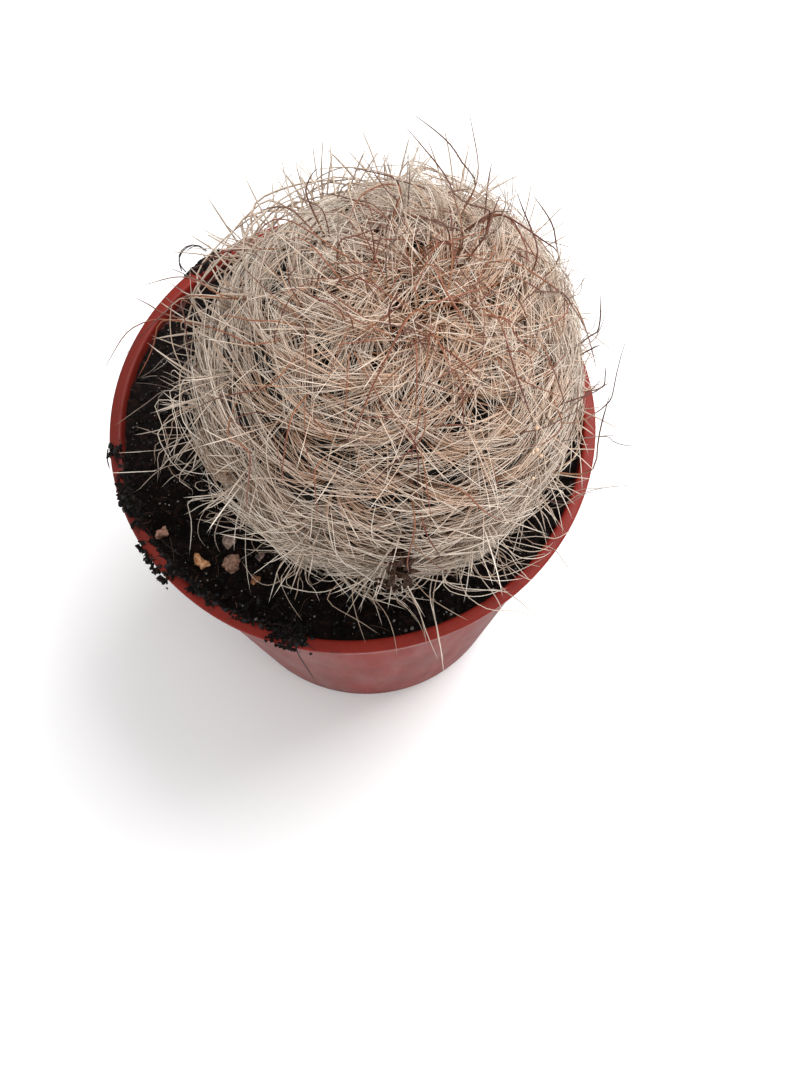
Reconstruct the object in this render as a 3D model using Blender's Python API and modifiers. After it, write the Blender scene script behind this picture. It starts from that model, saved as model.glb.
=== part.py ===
"""A hairy globular cactus growing in a round moulded plastic pot.

Metres, +Z up. The origin is the middle of the pot's flat underside, which rests on z = 0.
The front is -Y. The cactus grows from near the middle of the pot and leans right and forward.
"""
import math
import random

import bmesh
import bpy
import numpy as np
from mathutils import Matrix, Vector, noise

# Pot
POT_HEIGHT = 0.078
RIM_RADIUS = 0.0425
RIM_WIDTH = 0.0022
RIM_DEPTH = 0.0021
RIM_OVERHANG = 0.0013
RIM_DRAFT = 0.0001
BASE_RADIUS = 0.0312
WALL = 0.0010
FLOOR = 0.0012
BASE_ROUND = 0.0020
EDGE_ROUND = 0.0005
DRAIN_COUNT = 6
DRAIN_RADIUS = 0.0030
DRAIN_CIRCLE = 0.0185
DRAIN_PHASE = 0.37
DRAIN_SIDES = 12
TURN_STEPS = 64

# Soil
CLEARANCE = 0.0003
POCKET_CLEARANCE = 0.0004
SOIL_DROP = 0.0033
SOIL_ROLL = 0.0009
SOIL_ROLL_SPAN = 0.014
SOIL_CRUMB = 0.0006
SOIL_CRUMB_SPAN = 0.0042
SOIL_RING_STEP = 0.0033

# Cactus body, in its own frame: the middle of the body at the origin, its axis along +Z
FOOT = (0.0019, -0.0011)
LEAN_RIGHT = math.radians(9.7)
LEAN_FRONT = math.radians(6.0)
BODY_RISE = 0.0252
BODY_RADIUS = 0.0262
BODY_HALF_HEIGHT = 0.0282
RIBS = 14
RIB_TURN = math.radians(15.0)
BODY_ROWS = 20
ROW_ANGLE = math.radians(7.4)
FURROW_DEPTH = 0.0024
NOTCH_DEPTH = 0.0010
RELIEF_FADE_ROWS = 4
CROWN_DIP = 0.0016
CROWN_DIP_ANGLE = math.radians(13.0)
NECK = ((0.0108, -0.0275), (0.0100, -0.0330), (0.0070, -0.0385))
NECK_END = -0.0395

# Spines
SEED = 41
FIRST_SPINE_ROW = 1
LAST_SPINE_ROW = 18
HAIRS_PER_AREOLE = 5
HAIR_RADIUS = 0.00016
HAIR_LENGTH = (0.0105, 0.0165)
HAIR_LIFT = (0.0022, 0.0058)
HAIR_TIP_RISE = (-0.0010, 0.0016)
BRISTLE_RADIUS = 0.00028
BRISTLE_LENGTH = (0.017, 0.027)
BRISTLE_LIFT = (0.0060, 0.0165)
BRISTLE_KNEE = 0.3
BRISTLE_CHANCE = 1.15
BRISTLE_THINNING = 0.075
LAST_BRISTLE_ROW = 13
ROOT_SINK = 0.0012
ROOT_SPREAD = 0.0007
HEADING_STRAY = 0.2
SPINE_WRAP = 0.9
SPINE_TAPER = 0.3
SPINE_GAP = 0.00012
TRIES = 8
RETRY_TURN = 0.5
RETRY_LIFT = (-0.0006, 0.0009)
GROUND_SAMPLES = 6
TIP_RAISE = 0.0012
GROUND_GAP = 0.0006

# Grit stones: place on the compost, size across, flatness
GRIT = (
    ((-0.0330, -0.0195), 0.0025, 0.8),
    ((-0.0260, -0.0248), 0.0030, 0.7),
    ((-0.0212, -0.0216), 0.0027, 0.8),
    ((-0.0209, -0.0256), 0.0034, 0.7),
    ((-0.0160, -0.0246), 0.0018, 0.8),
    ((-0.0168, -0.0285), 0.0018, 0.8),
    ((-0.0225, 0.0290), 0.0028, 0.7),
    ((0.0300, 0.0215), 0.0024, 0.8),
)
GRIT_COLOURS = ((0.55, 0.37, 0.22), (0.62, 0.36, 0.18), (0.66, 0.50, 0.42), (0.64, 0.48, 0.41))
GRIT_RELIEF = 0.16
GRIT_BUMPS = 1.3
GRIT_STAND = 0.25

# Dried flower, standing on a spine cushion at the front of the body
FLOWER_COLUMN = 20
FLOWER_ROW = 11
FLOWER_LENGTH = 0.0070
FLOWER_RADIUS = 0.0021
FLOWER_RELIEF = 0.22
FLOWER_PETALS = 7
FLOWER_CRUMPLE = 0.25
FLOWER_CRUMPLES = 2.1
FLOWER_KEEP_OUT = 1.4


def clear_scene():
    for item in list(bpy.data.objects):
        bpy.data.objects.remove(item, do_unlink=True)


def new_collection(name):
    group = bpy.data.collections.new(name)
    bpy.context.scene.collection.children.link(group)
    return group


def plain_material(name, colour, roughness):
    material = bpy.data.materials.new(name)
    material.use_nodes = True
    shader = material.node_tree.nodes["Principled BSDF"]
    shader.inputs["Base Color"].default_value = (*colour, 1.0)
    shader.inputs["Roughness"].default_value = roughness
    shader.inputs["Metallic"].default_value = 0.0
    return material


def add_object(name, mesh, group, material=None):
    item = bpy.data.objects.new(name, mesh)
    group.objects.link(item)
    if material is not None:
        mesh.materials.clear()
        mesh.materials.append(material)
    return item


def mesh_from_bmesh(name, shape):
    mesh = bpy.data.meshes.new(name)
    shape.to_mesh(mesh)
    shape.free()
    return mesh


def applied_mesh(item):
    """The object's mesh with its modifiers applied, in the object's own frame."""
    view = bpy.context.evaluated_depsgraph_get()
    view.update()
    return bpy.data.meshes.new_from_object(item.evaluated_get(view), depsgraph=view)


def arc(centre, radius, start, end, steps):
    """Points of a round stretch of a profile, from one angle to another in degrees."""
    points = []
    for step in range(steps + 1):
        angle = math.radians(start + (end - start) * step / steps)
        points.append((centre[0] + radius * math.cos(angle), centre[1] + radius * math.sin(angle)))
    return points


def turned(name, profile, group, material=None):
    """A profile of (radius, height) points, turned about Z."""
    mesh = bpy.data.meshes.new(name)
    points = [(radius, 0.0, height) for radius, height in profile]
    mesh.from_pydata(points, [(i, i + 1) for i in range(len(points) - 1)], [])
    item = add_object(name, mesh, group, material)
    screw = item.modifiers.new("turn", "SCREW")
    screw.axis = "Z"
    screw.angle = math.tau
    screw.steps = TURN_STEPS
    screw.render_steps = TURN_STEPS
    screw.use_merge_vertices = True
    screw.merge_threshold = 0.00001
    screw.use_smooth_shade = True
    return item


# The pot: wall, floor, flat rim and drainage holes
def outer_radius(height):
    """Outside radius of the plain tapered wall."""
    top = RIM_RADIUS - RIM_OVERHANG
    return BASE_RADIUS + (top - BASE_RADIUS) * height / POT_HEIGHT


def inner_radius(height):
    return outer_radius(height) - WALL


def pot_profile():
    rim_inside = RIM_RADIUS - RIM_WIDTH
    rim_low = POT_HEIGHT - RIM_DEPTH
    inside_base = inner_radius(FLOOR)
    points = [(0.0, FLOOR)]
    points += arc((inside_base - BASE_ROUND, FLOOR + BASE_ROUND), BASE_ROUND, -90, 0, 3)
    points += [(rim_inside - RIM_DRAFT, rim_low)]
    points += arc((rim_inside + EDGE_ROUND, POT_HEIGHT - EDGE_ROUND), EDGE_ROUND, 180, 90, 2)
    points += arc((RIM_RADIUS - EDGE_ROUND, POT_HEIGHT - EDGE_ROUND), EDGE_ROUND, 90, 0, 3)
    points += [(RIM_RADIUS - RIM_DRAFT, rim_low)]
    points += [(outer_radius(rim_low), rim_low)]
    points += arc((BASE_RADIUS - BASE_ROUND, BASE_ROUND), BASE_ROUND, 0, -90, 3)
    points += [(0.0, 0.0)]
    return points


def make_pot(parts, cutters):
    material = plain_material("pot_plastic", (0.42, 0.075, 0.055), 0.38)
    pot = turned("pot", pot_profile(), parts, material)
    for index in range(DRAIN_COUNT):
        angle = math.tau * (index + DRAIN_PHASE) / DRAIN_COUNT
        shape = bmesh.new()
        bmesh.ops.create_cone(
            shape,
            cap_ends=True,
            segments=DRAIN_SIDES,
            depth=4 * FLOOR,
            radius1=DRAIN_RADIUS,
            radius2=DRAIN_RADIUS,
        )
        cutter = add_object("drain_cut_%d" % index, mesh_from_bmesh("drain_cut", shape), cutters)
        cutter.location = (DRAIN_CIRCLE * math.cos(angle), DRAIN_CIRCLE * math.sin(angle), FLOOR / 2)
        cutter.rotation_euler.z = angle
        cutter.hide_render = True
        cutter.display_type = "WIRE"
        cut = pot.modifiers.new("drain_%d" % index, "BOOLEAN")
        cut.operation = "DIFFERENCE"
        cut.object = cutter
    return pot


# The cactus body: a sphere of crest and furrow columns, moved to the plant's form
def body_frame():
    foot = Vector((FOOT[0], FOOT[1], POT_HEIGHT - SOIL_DROP))
    lean = Matrix.Rotation(LEAN_RIGHT, 4, "Y") @ Matrix.Rotation(LEAN_FRONT, 4, "X")
    rise = Matrix.Translation((0.0, 0.0, BODY_RISE))
    return Matrix.Translation(foot) @ lean @ rise @ Matrix.Rotation(RIB_TURN, 4, "Z")


def skin_distance(direction):
    """Distance from the body's middle to the rib crests, along a unit direction."""
    across = math.hypot(direction[0], direction[1]) / BODY_RADIUS
    along = direction[2] / BODY_HALF_HEIGHT
    distance = 1.0 / math.hypot(across, along)
    tilt = math.acos(max(-1.0, min(1.0, direction[2])))
    return distance - CROWN_DIP * math.exp(-((tilt / CROWN_DIP_ANGLE) ** 2))


def skin_direction(column, row):
    turn = math.pi * column / RIBS
    tilt = ROW_ANGLE * row
    return Vector((math.sin(tilt) * math.cos(turn), math.sin(tilt) * math.sin(turn), math.cos(tilt)))


def is_areole(column, row):
    """Spine cushions sit on the crests, in every second row, and alternate from rib to rib."""
    return column % 2 == 0 and (row + column // 2) % 2 == 1


def skin_relief(column, row):
    fade = min(1.0, row / RELIEF_FADE_ROWS, (BODY_ROWS + 1 - row) / RELIEF_FADE_ROWS)
    if column % 2 == 1:
        return FURROW_DEPTH * fade
    if is_areole(column, row):
        return 0.0
    return NOTCH_DEPTH * fade


def body_mesh(swell=0.0):
    """The body without spines. A swell above 0 moves the whole skin out by that much."""
    columns = 2 * RIBS
    rows = BODY_ROWS + len(NECK) + 1
    shape = bmesh.new()
    bmesh.ops.create_uvsphere(shape, u_segments=columns, v_segments=rows, radius=1.0)
    for vertex in shape.verts:
        tilt = math.acos(max(-1.0, min(1.0, vertex.co.z)))
        row = round(tilt / math.pi * rows)
        turn = math.atan2(vertex.co.y, vertex.co.x)
        column = round(turn / math.tau * columns) % columns
        if row == 0:
            vertex.co = Vector((0.0, 0.0, skin_distance((0.0, 0.0, 1.0)) + swell))
        elif row <= BODY_ROWS:
            direction = skin_direction(column, row)
            vertex.co = direction * (skin_distance(direction) - skin_relief(column, row) + swell)
        elif row < rows:
            radius, height = NECK[row - BODY_ROWS - 1]
            across = radius + swell
            vertex.co = Vector((across * math.cos(turn), across * math.sin(turn), height))
        else:
            vertex.co = Vector((0.0, 0.0, NECK_END - swell))
    bmesh.ops.triangulate(shape, faces=shape.faces, quad_method="FIXED")
    return mesh_from_bmesh("cactus_body", shape)


# The spines: one three-sided blank, laid along a bent route from each spine cushion
def spine_blank(bends):
    """A three-sided needle of unit length and radius along +Z, with rings where it bends."""
    shape = bmesh.new()
    bmesh.ops.create_cone(shape, cap_ends=True, segments=3, depth=1.0, radius1=1.0, radius2=0.0)
    bmesh.ops.translate(shape, verts=shape.verts, vec=(0.0, 0.0, 0.5))
    for bend in range(1, bends + 1):
        parts = shape.verts[:] + shape.edges[:] + shape.faces[:]
        place = (0.0, 0.0, bend / (bends + 1))
        bmesh.ops.bisect_plane(shape, geom=parts, plane_co=place, plane_no=(0.0, 0.0, 1.0))
    return mesh_from_bmesh("spine_blank_%d" % bends, shape)


def spine_route(root, heading, length, lift, tip_lift, count):
    """Points of a spine that leaves the skin, rises, and curves round the body to its tip."""
    out = root.normalized()
    side = (heading - heading.dot(out) * out).normalized()
    points = []
    for step in range(count):
        part = step / (count - 1)
        bearing = SPINE_WRAP * part * length / BODY_RADIUS
        direction = out * math.cos(bearing) + side * math.sin(bearing)
        height = -ROOT_SINK
        if part > 0.0:
            height = lift + (tip_lift - lift) * part
        points.append(direction * (skin_distance(direction) + height))
    return points


def laid_spine(blank, route, radius):
    """A copy of the blank whose rings follow the route."""
    mesh = blank.copy()
    last = len(route) - 1
    for vertex in mesh.vertices:
        part = vertex.co.z
        index = round(part * last)
        before = route[max(0, index - 1)]
        after = route[min(last, index + 1)]
        along = (after - before).normalized()
        out = route[index].normalized()
        side = along.cross(out).normalized()
        width = 0.0
        if index < last:
            width = radius * (1.0 - SPINE_TAPER * part) / (1.0 - part)
        vertex.co = route[index] + (side * vertex.co.x + along.cross(side) * vertex.co.y) * width
    return mesh


def segment_gap(first_a, first_b, starts, ends):
    """Smallest distance from one segment to each of many, all as arrays."""
    u = first_b - first_a
    v = ends - starts
    w = first_a - starts
    a = u @ u
    b = v @ u
    c = np.einsum("ij,ij->i", v, v)
    d = w @ u
    e = np.einsum("ij,ij->i", v, w)
    along = np.clip((b * e - c * d) / np.maximum(a * c - b * b, 1e-18), 0.0, 1.0)
    other = np.clip((b * along + e) / c, 0.0, 1.0)
    along = np.clip((b * other - d) / a, 0.0, 1.0)
    gap = w + along[:, None] * u - other[:, None] * v
    return np.sqrt(np.einsum("ij,ij->i", gap, gap))


def soil_height(x, y):
    """Height of the compost's lumpy top."""
    roll = noise.noise(Vector((x / SOIL_ROLL_SPAN, y / SOIL_ROLL_SPAN, 0.3)))
    crumb = noise.noise(Vector((x / SOIL_CRUMB_SPAN, y / SOIL_CRUMB_SPAN, 7.1)))
    return POT_HEIGHT - SOIL_DROP + SOIL_ROLL * roll + SOIL_CRUMB * crumb


def clears_the_pot(route, frame):
    """Whether a spine stays above the compost and the rim all along."""
    for start, end in zip(route, route[1:]):
        for step in range(1, GROUND_SAMPLES + 1):
            place = frame @ start.lerp(end, step / GROUND_SAMPLES)
            reach = math.hypot(place.x, place.y)
            if reach < RIM_RADIUS - RIM_WIDTH:
                ground = soil_height(place.x, place.y)
            elif reach < RIM_RADIUS + GROUND_GAP:
                ground = POT_HEIGHT
            else:
                ground = 0.0
            if place.z < ground + GROUND_GAP:
                return False
    return True


def flower_axis():
    """Foot and head of the dried flower, in the body's frame."""
    direction = skin_direction(FLOWER_COLUMN, FLOWER_ROW)
    foot = direction * (skin_distance(direction) + CLEARANCE)
    return foot, foot + direction * FLOWER_LENGTH


def spine_wishes(draw):
    """Every spine that the plant is asked to bear: root, heading, length, lifts, radius and bends."""
    wishes = []
    for row in range(FIRST_SPINE_ROW, LAST_SPINE_ROW + 1):
        for column in range(0, 2 * RIBS, 2):
            if not is_areole(column, row):
                continue
            out = skin_direction(column, row)
            down = skin_direction(column, row + 1) - skin_direction(column, row - 1)
            down = (down - down.dot(out) * out).normalized()
            across = out.cross(down)
            turn = draw.uniform(0.0, math.tau)
            bristles = 0
            if row <= LAST_BRISTLE_ROW and draw.random() < BRISTLE_CHANCE - BRISTLE_THINNING * row:
                bristles = 1
            count = HAIRS_PER_AREOLE + bristles
            for index in range(count):
                stray = draw.uniform(-HEADING_STRAY, HEADING_STRAY)
                heading_turn = turn + math.tau * (index + stray) / count
                heading = down * math.cos(heading_turn) + across * math.sin(heading_turn)
                root = out * skin_distance(out) + heading * ROOT_SPREAD
                if index < bristles:
                    length = draw.uniform(*BRISTLE_LENGTH)
                    tip = draw.uniform(*BRISTLE_LIFT)
                    wishes.append((root, heading, length, BRISTLE_KNEE * tip, tip, BRISTLE_RADIUS, 2))
                else:
                    length = draw.uniform(*HAIR_LENGTH)
                    lift = draw.uniform(*HAIR_LIFT)
                    tip = lift + draw.uniform(*HAIR_TIP_RISE)
                    wishes.append((root, heading, length, lift, tip, HAIR_RADIUS, 1))
    return wishes


def make_spines(group, frame):
    """Lays each spine that stays clear of the pot, the flower and the spines before it."""
    draw = random.Random(SEED)
    blanks = {bends: spine_blank(bends) for bends in (1, 2)}
    flower = [np.array(point) for point in flower_axis()]
    starts = [flower[0]]
    ends = [flower[1]]
    widths = [FLOWER_RADIUS * FLOWER_KEEP_OUT]
    for root, heading, length, lift, tip, radius, bends in spine_wishes(draw):
        for _ in range(TRIES):
            route = spine_route(root, heading, length, lift, tip, bends + 2)
            turn = Matrix.Rotation(draw.uniform(-RETRY_TURN, RETRY_TURN), 3, root.normalized())
            heading = turn @ heading
            lift = lift + draw.uniform(*RETRY_LIFT)
            if not clears_the_pot(route, frame):
                tip = tip + TIP_RAISE
                continue
            held = (np.array(starts), np.array(ends), np.array(widths))
            clear = True
            for start, end in zip(route, route[1:]):
                gaps = segment_gap(np.array(start), np.array(end), held[0], held[1])
                if np.any(gaps < held[2] + radius + SPINE_GAP):
                    clear = False
            if not clear:
                continue
            spine = add_object("spine", laid_spine(blanks[bends], route, radius), group)
            spine.matrix_world = frame
            for start, end in zip(route, route[1:]):
                starts.append(np.array(start))
                ends.append(np.array(end))
                widths.append(radius)
            break
    for blank in blanks.values():
        bpy.data.meshes.remove(blank)


def make_cactus(parts):
    frame = body_frame()
    material = plain_material("cactus_hair", (0.60, 0.53, 0.44), 0.75)
    cactus = add_object("cactus", body_mesh(), parts, material)
    cactus.matrix_world = frame
    spines = new_collection("spines")
    make_spines(spines, frame)
    join = cactus.modifiers.new("join_spines", "BOOLEAN")
    join.operation = "UNION"
    join.operand_type = "COLLECTION"
    join.collection = spines
    joined = applied_mesh(cactus)
    cactus.modifiers.remove(join)
    cactus.data = joined
    joined.materials.clear()
    joined.materials.append(material)
    for spine in list(spines.objects):
        bpy.data.objects.remove(spine, do_unlink=True)
    bpy.data.collections.remove(spines)
    return cactus


# Grit stones, each lying in its own pocket in the compost
def make_grit(parts, cutters):
    pockets = []
    for index, (place, size, flatness) in enumerate(GRIT):
        shape = bmesh.new()
        bmesh.ops.create_icosphere(shape, subdivisions=2, radius=1.0)
        for vertex in shape.verts:
            bump = noise.noise(vertex.co * GRIT_BUMPS + Vector((4.0 * index, 0.0, 0.0)))
            vertex.co = vertex.co * (1.0 + GRIT_RELIEF * bump)
            vertex.co.z *= flatness
        mesh = mesh_from_bmesh("grit", shape)
        colour = GRIT_COLOURS[index % len(GRIT_COLOURS)]
        material = plain_material("grit_stone_%d" % (index + 1), colour, 0.8)
        stone = add_object("grit_%d" % (index + 1), mesh, parts, material)
        radius = size / 2
        middle = Vector((place[0], place[1], soil_height(*place) + GRIT_STAND * radius))
        stone.matrix_world = Matrix.Translation(middle) @ Matrix.Scale(radius, 4)
        pocket = add_object("grit_pocket_%d" % (index + 1), mesh, cutters)
        pocket.matrix_world = Matrix.Translation(middle) @ Matrix.Scale(radius + POCKET_CLEARANCE, 4)
        pocket.hide_render = True
        pocket.display_type = "WIRE"
        pockets.append(pocket)
    return pockets


# The compost: a turned fill with a lumpy top, a hole for the plant's foot and pockets for grit
def soil_profile():
    top = POT_HEIGHT - SOIL_DROP
    wide = inner_radius(top) - POCKET_CLEARANCE
    rings = round(wide / SOIL_RING_STEP)
    points = [(wide * ring / rings, top) for ring in range(rings + 1)]
    low = FLOOR + CLEARANCE
    corner = BASE_ROUND
    base = inner_radius(low) - CLEARANCE
    points += arc((base - corner, low + corner), corner, 0, -90, 2)
    points += [(0.0, low)]
    return points


def make_soil(parts, cutters, pockets):
    material = plain_material("compost", (0.012, 0.009, 0.007), 0.9)
    soil = turned("soil", soil_profile(), parts, material)
    mesh = applied_mesh(soil)
    soil.modifiers.clear()
    soil.data = mesh
    half_way = POT_HEIGHT / 2
    for vertex in mesh.vertices:
        if vertex.co.z > half_way:
            vertex.co.z = soil_height(vertex.co.x, vertex.co.y)
    hole = add_object("foot_hole", body_mesh(POCKET_CLEARANCE), cutters)
    hole.matrix_world = body_frame()
    hole.hide_render = True
    hole.display_type = "WIRE"
    for cutter in [hole] + pockets:
        cut = soil.modifiers.new("cut_" + cutter.name, "BOOLEAN")
        cut.operation = "DIFFERENCE"
        cut.object = cutter
    return soil


# The dried flower: a shrivelled tube that widens into crumpled petals
def make_flower(parts):
    material = plain_material("dried_petals", (0.075, 0.042, 0.022), 0.85)
    foot, head = flower_axis()
    shape = bmesh.new()
    bmesh.ops.create_icosphere(shape, subdivisions=2, radius=1.0)
    for vertex in shape.verts:
        part = (vertex.co.z + 1.0) / 2
        turn = math.atan2(vertex.co.y, vertex.co.x)
        fold = 1.0 + FLOWER_RELIEF * part * math.cos(FLOWER_PETALS * turn)
        fold += FLOWER_CRUMPLE * noise.noise(vertex.co * FLOWER_CRUMPLES)
        vertex.co.x *= FLOWER_RADIUS * fold
        vertex.co.y *= FLOWER_RADIUS * fold
        vertex.co.z = part * FLOWER_LENGTH
    flower = add_object("dried_flower", mesh_from_bmesh("dried_flower", shape), parts, material)
    aim = (head - foot).to_track_quat("Z", "Y").to_matrix().to_4x4()
    flower.matrix_world = body_frame() @ Matrix.Translation(foot) @ aim
    return flower


def shade(item, angle):
    item.data.shade_smooth()
    item.data.set_sharp_from_angle(angle=math.radians(angle))


clear_scene()
potted_eriosyce = new_collection("potted_eriosyce")
cutting_shapes = new_collection("cutting_shapes")
make_pot(potted_eriosyce, cutting_shapes)
grit_pockets = make_grit(potted_eriosyce, cutting_shapes)
shade(make_soil(potted_eriosyce, cutting_shapes, grit_pockets), 50)
shade(make_cactus(potted_eriosyce), 50)
shade(make_flower(potted_eriosyce), 50)
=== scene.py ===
import math

import bpy
import numpy as np
from mathutils import Matrix, Vector, noise


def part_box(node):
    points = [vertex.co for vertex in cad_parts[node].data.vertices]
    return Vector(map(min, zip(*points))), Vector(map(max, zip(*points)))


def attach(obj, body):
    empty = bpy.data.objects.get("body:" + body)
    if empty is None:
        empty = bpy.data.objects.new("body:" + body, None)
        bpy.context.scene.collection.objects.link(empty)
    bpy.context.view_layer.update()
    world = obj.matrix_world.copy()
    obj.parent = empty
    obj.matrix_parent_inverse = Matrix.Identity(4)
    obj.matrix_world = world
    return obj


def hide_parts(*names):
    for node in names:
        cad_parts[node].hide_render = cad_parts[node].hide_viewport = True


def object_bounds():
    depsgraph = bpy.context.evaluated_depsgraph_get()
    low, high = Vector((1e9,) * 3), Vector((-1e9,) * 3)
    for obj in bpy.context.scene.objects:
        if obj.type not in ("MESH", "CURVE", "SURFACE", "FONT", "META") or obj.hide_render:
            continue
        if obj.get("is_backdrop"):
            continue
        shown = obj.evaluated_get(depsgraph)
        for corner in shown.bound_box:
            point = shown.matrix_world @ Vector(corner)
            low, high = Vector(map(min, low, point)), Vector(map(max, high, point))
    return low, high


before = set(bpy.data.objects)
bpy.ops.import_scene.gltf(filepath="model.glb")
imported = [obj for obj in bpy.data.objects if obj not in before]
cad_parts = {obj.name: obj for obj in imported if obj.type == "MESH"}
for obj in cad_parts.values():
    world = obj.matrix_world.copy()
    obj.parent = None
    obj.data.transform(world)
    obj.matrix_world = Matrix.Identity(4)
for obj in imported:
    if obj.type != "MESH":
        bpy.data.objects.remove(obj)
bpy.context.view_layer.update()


# View. The plant is seen steeply from above and a little in front, so close that the pot
# narrows strongly towards its base. The camera stands where that view was taken, and a pixel
# of the 800 by 1067 picture gives a line of sight from it.
PICTURE_WIDTH = 800
PICTURE_HEIGHT = 1067
FOCAL_PIXELS = 1200.0
FILM = 36.0
CAMERA_PLACE = Vector((0.00779, -0.0933, 0.26673))
CAMERA_DIP = math.radians(69.3)
CAMERA_ROLL = math.radians(-1.5)
camera_turn = Matrix.Rotation(math.pi / 2 - CAMERA_DIP, 3, "X")
camera_turn = camera_turn @ Matrix.Rotation(CAMERA_ROLL, 3, "Z")

camera_data = bpy.data.cameras.new("view")
camera_data.sensor_width = FILM
camera_data.lens = FOCAL_PIXELS / PICTURE_HEIGHT * FILM
camera_data.clip_start = 0.01
camera = bpy.data.objects.new("view", camera_data)
camera.matrix_world = Matrix.Translation(CAMERA_PLACE) @ camera_turn.to_4x4()
bpy.context.scene.collection.objects.link(camera)
bpy.context.scene.camera = camera


def sight(across, down):
    """Direction from the camera through a pixel of the picture."""
    right = (across - PICTURE_WIDTH / 2) / FOCAL_PIXELS
    up = (PICTURE_HEIGHT / 2 - down) / FOCAL_PIXELS
    return (camera_turn @ Vector((right, up, -1.0))).normalized()


# Pot. A round nursery pot, injection moulded in thin terracotta red plastic: tapered walls, a
# flat rim that stands out from the wall and six drainage holes in a flat base. It is satin and
# stained, and soiled at the rim. Light is painted on it too: a cloudy mauve grey and a grey veil
# down the wall for the sheen it reflects at a slant, left off where the wall faces the view in
# front; a dark line of painted shadow under the rim; and painted shade on the left side.
POT_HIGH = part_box("pot")[1]
POT_TOP = POT_HIGH.z
RIM_RADIUS = POT_HIGH.x
RIM_WIDTH = 0.0022
RIM_DEPTH = 0.0021
RIM_OVERHANG = 0.0013
BASE_RADIUS = 0.0312
WALL = 0.0010
FLOOR = 0.0012
BASE_ROUND = 0.0020
EDGE_ROUND = 0.0005
DRAIN_COUNT = 6
DRAIN_RADIUS = 0.0030
DRAIN_CIRCLE = 0.0185
DRAIN_PHASE = 0.37
POT_SIDES = 160
# The spot on the front of the wall that faces the view, where no reflection is painted.
CAMERA_FACING_SPOT = (0.008, -0.034, 0.0)
SMEARED = (1.0, 1.0, 0.2)
STREAKED = (1.0, 1.0, 0.45)
RIM_BLEND = (0.0004, -0.0003)
# Heights of the painted shadow under the rim, measured from the rim's foot.
RIM_SHADOW_BAND = (0.0007, 0.0002)
RIM_SHADOW_FOOT = -0.0005


def take(piece):
    """Makes one object the only selected one, and the active one."""
    for other in bpy.context.selected_objects:
        other.select_set(False)
    bpy.context.view_layer.objects.active = piece
    piece.select_set(True)


def start(name):
    """Names the primitive that was just added, puts its place in its mesh and takes it up."""
    piece = bpy.context.object
    piece.name = name
    piece.data.name = name
    take(piece)
    bpy.ops.object.transform_apply(location=True, rotation=True, scale=True)
    return piece


def pick(piece, kind, test):
    """Goes to edit mode with only the faces or edges selected whose middle passes a test."""
    bpy.ops.object.mode_set(mode="EDIT")
    bpy.ops.mesh.select_mode(type=kind)
    bpy.ops.mesh.select_all(action="DESELECT")
    bpy.ops.object.mode_set(mode="OBJECT")
    mesh = piece.data
    if kind == "FACE":
        for face in mesh.polygons:
            face.select = test(face.center, face.normal)
    if kind == "EDGE":
        for edge in mesh.edges:
            first, second = (mesh.vertices[index].co for index in edge.vertices)
            edge.select = test((first + second) / 2, second - first)
    bpy.ops.object.mode_set(mode="EDIT")


def pick_all():
    bpy.ops.object.mode_set(mode="EDIT")
    bpy.ops.mesh.select_all(action="SELECT")


def ring_at(height):
    """Cuts a ring of edges into the whole piece at a height, in edit mode."""
    pick_all()
    bpy.ops.mesh.bisect(plane_co=(0.0, 0.0, height), plane_no=(0.0, 0.0, 1.0))


def leave():
    bpy.ops.object.mode_set(mode="OBJECT")


def widen(factor):
    bpy.ops.transform.resize(value=(factor, factor, 1.0))


def extrude_up(distance):
    """Extrudes the selected faces straight up, or down."""
    bpy.ops.mesh.extrude_region_move(TRANSFORM_OT_translate={"value": (0.0, 0.0, distance)})


def smooth_by(degrees):
    bpy.ops.object.shade_smooth_by_angle(angle=math.radians(degrees))


def apply_all(piece):
    """Applies every modifier of a piece, in order."""
    take(piece)
    for modifier in list(piece.modifiers):
        bpy.ops.object.modifier_apply(modifier=modifier.name)


def outer_radius(height):
    """Outside radius of the plain tapered wall."""
    return BASE_RADIUS + (RIM_RADIUS - RIM_OVERHANG - BASE_RADIUS) * height / POT_TOP


rim_inside = RIM_RADIUS - RIM_WIDTH
rim_low = POT_TOP - RIM_DEPTH
wall_top = outer_radius(POT_TOP)
floor_radius = outer_radius(FLOOR) - WALL

bpy.ops.object.select_all(action="DESELECT")
bpy.ops.mesh.primitive_cylinder_add(
    vertices=POT_SIDES, radius=BASE_RADIUS, depth=POT_TOP, location=(0.0, 0.0, POT_TOP / 2)
)
pot = start("moulded_pot")
pick(pot, "FACE", lambda middle, normal: normal.z > 0.5)
widen(wall_top / BASE_RADIUS)
bpy.ops.mesh.inset(thickness=wall_top - rim_inside)
extrude_up(FLOOR - POT_TOP)
widen(floor_radius / rim_inside)
ring_at(rim_low)
pick(
    pot,
    "FACE",
    lambda middle, normal: middle.z > rim_low and abs(normal.z) < 0.5 and normal.dot(middle) > 0.0,
)
bpy.ops.mesh.extrude_region_move()
widen(RIM_RADIUS / wall_top)
pick(
    pot,
    "EDGE",
    lambda middle, along: middle.z < FLOOR + BASE_ROUND / 4
    and middle.xy.length > floor_radius * 0.9
    and abs(along.z) < WALL / 2,
)
bpy.ops.mesh.bevel(offset=BASE_ROUND / 2, segments=5)
leave()
edges = pot.modifiers.new("soft_edges", "BEVEL")
edges.width = EDGE_ROUND
edges.segments = 4
edges.limit_method = "ANGLE"
edges.angle_limit = math.radians(40)
apply_all(pot)
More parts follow.
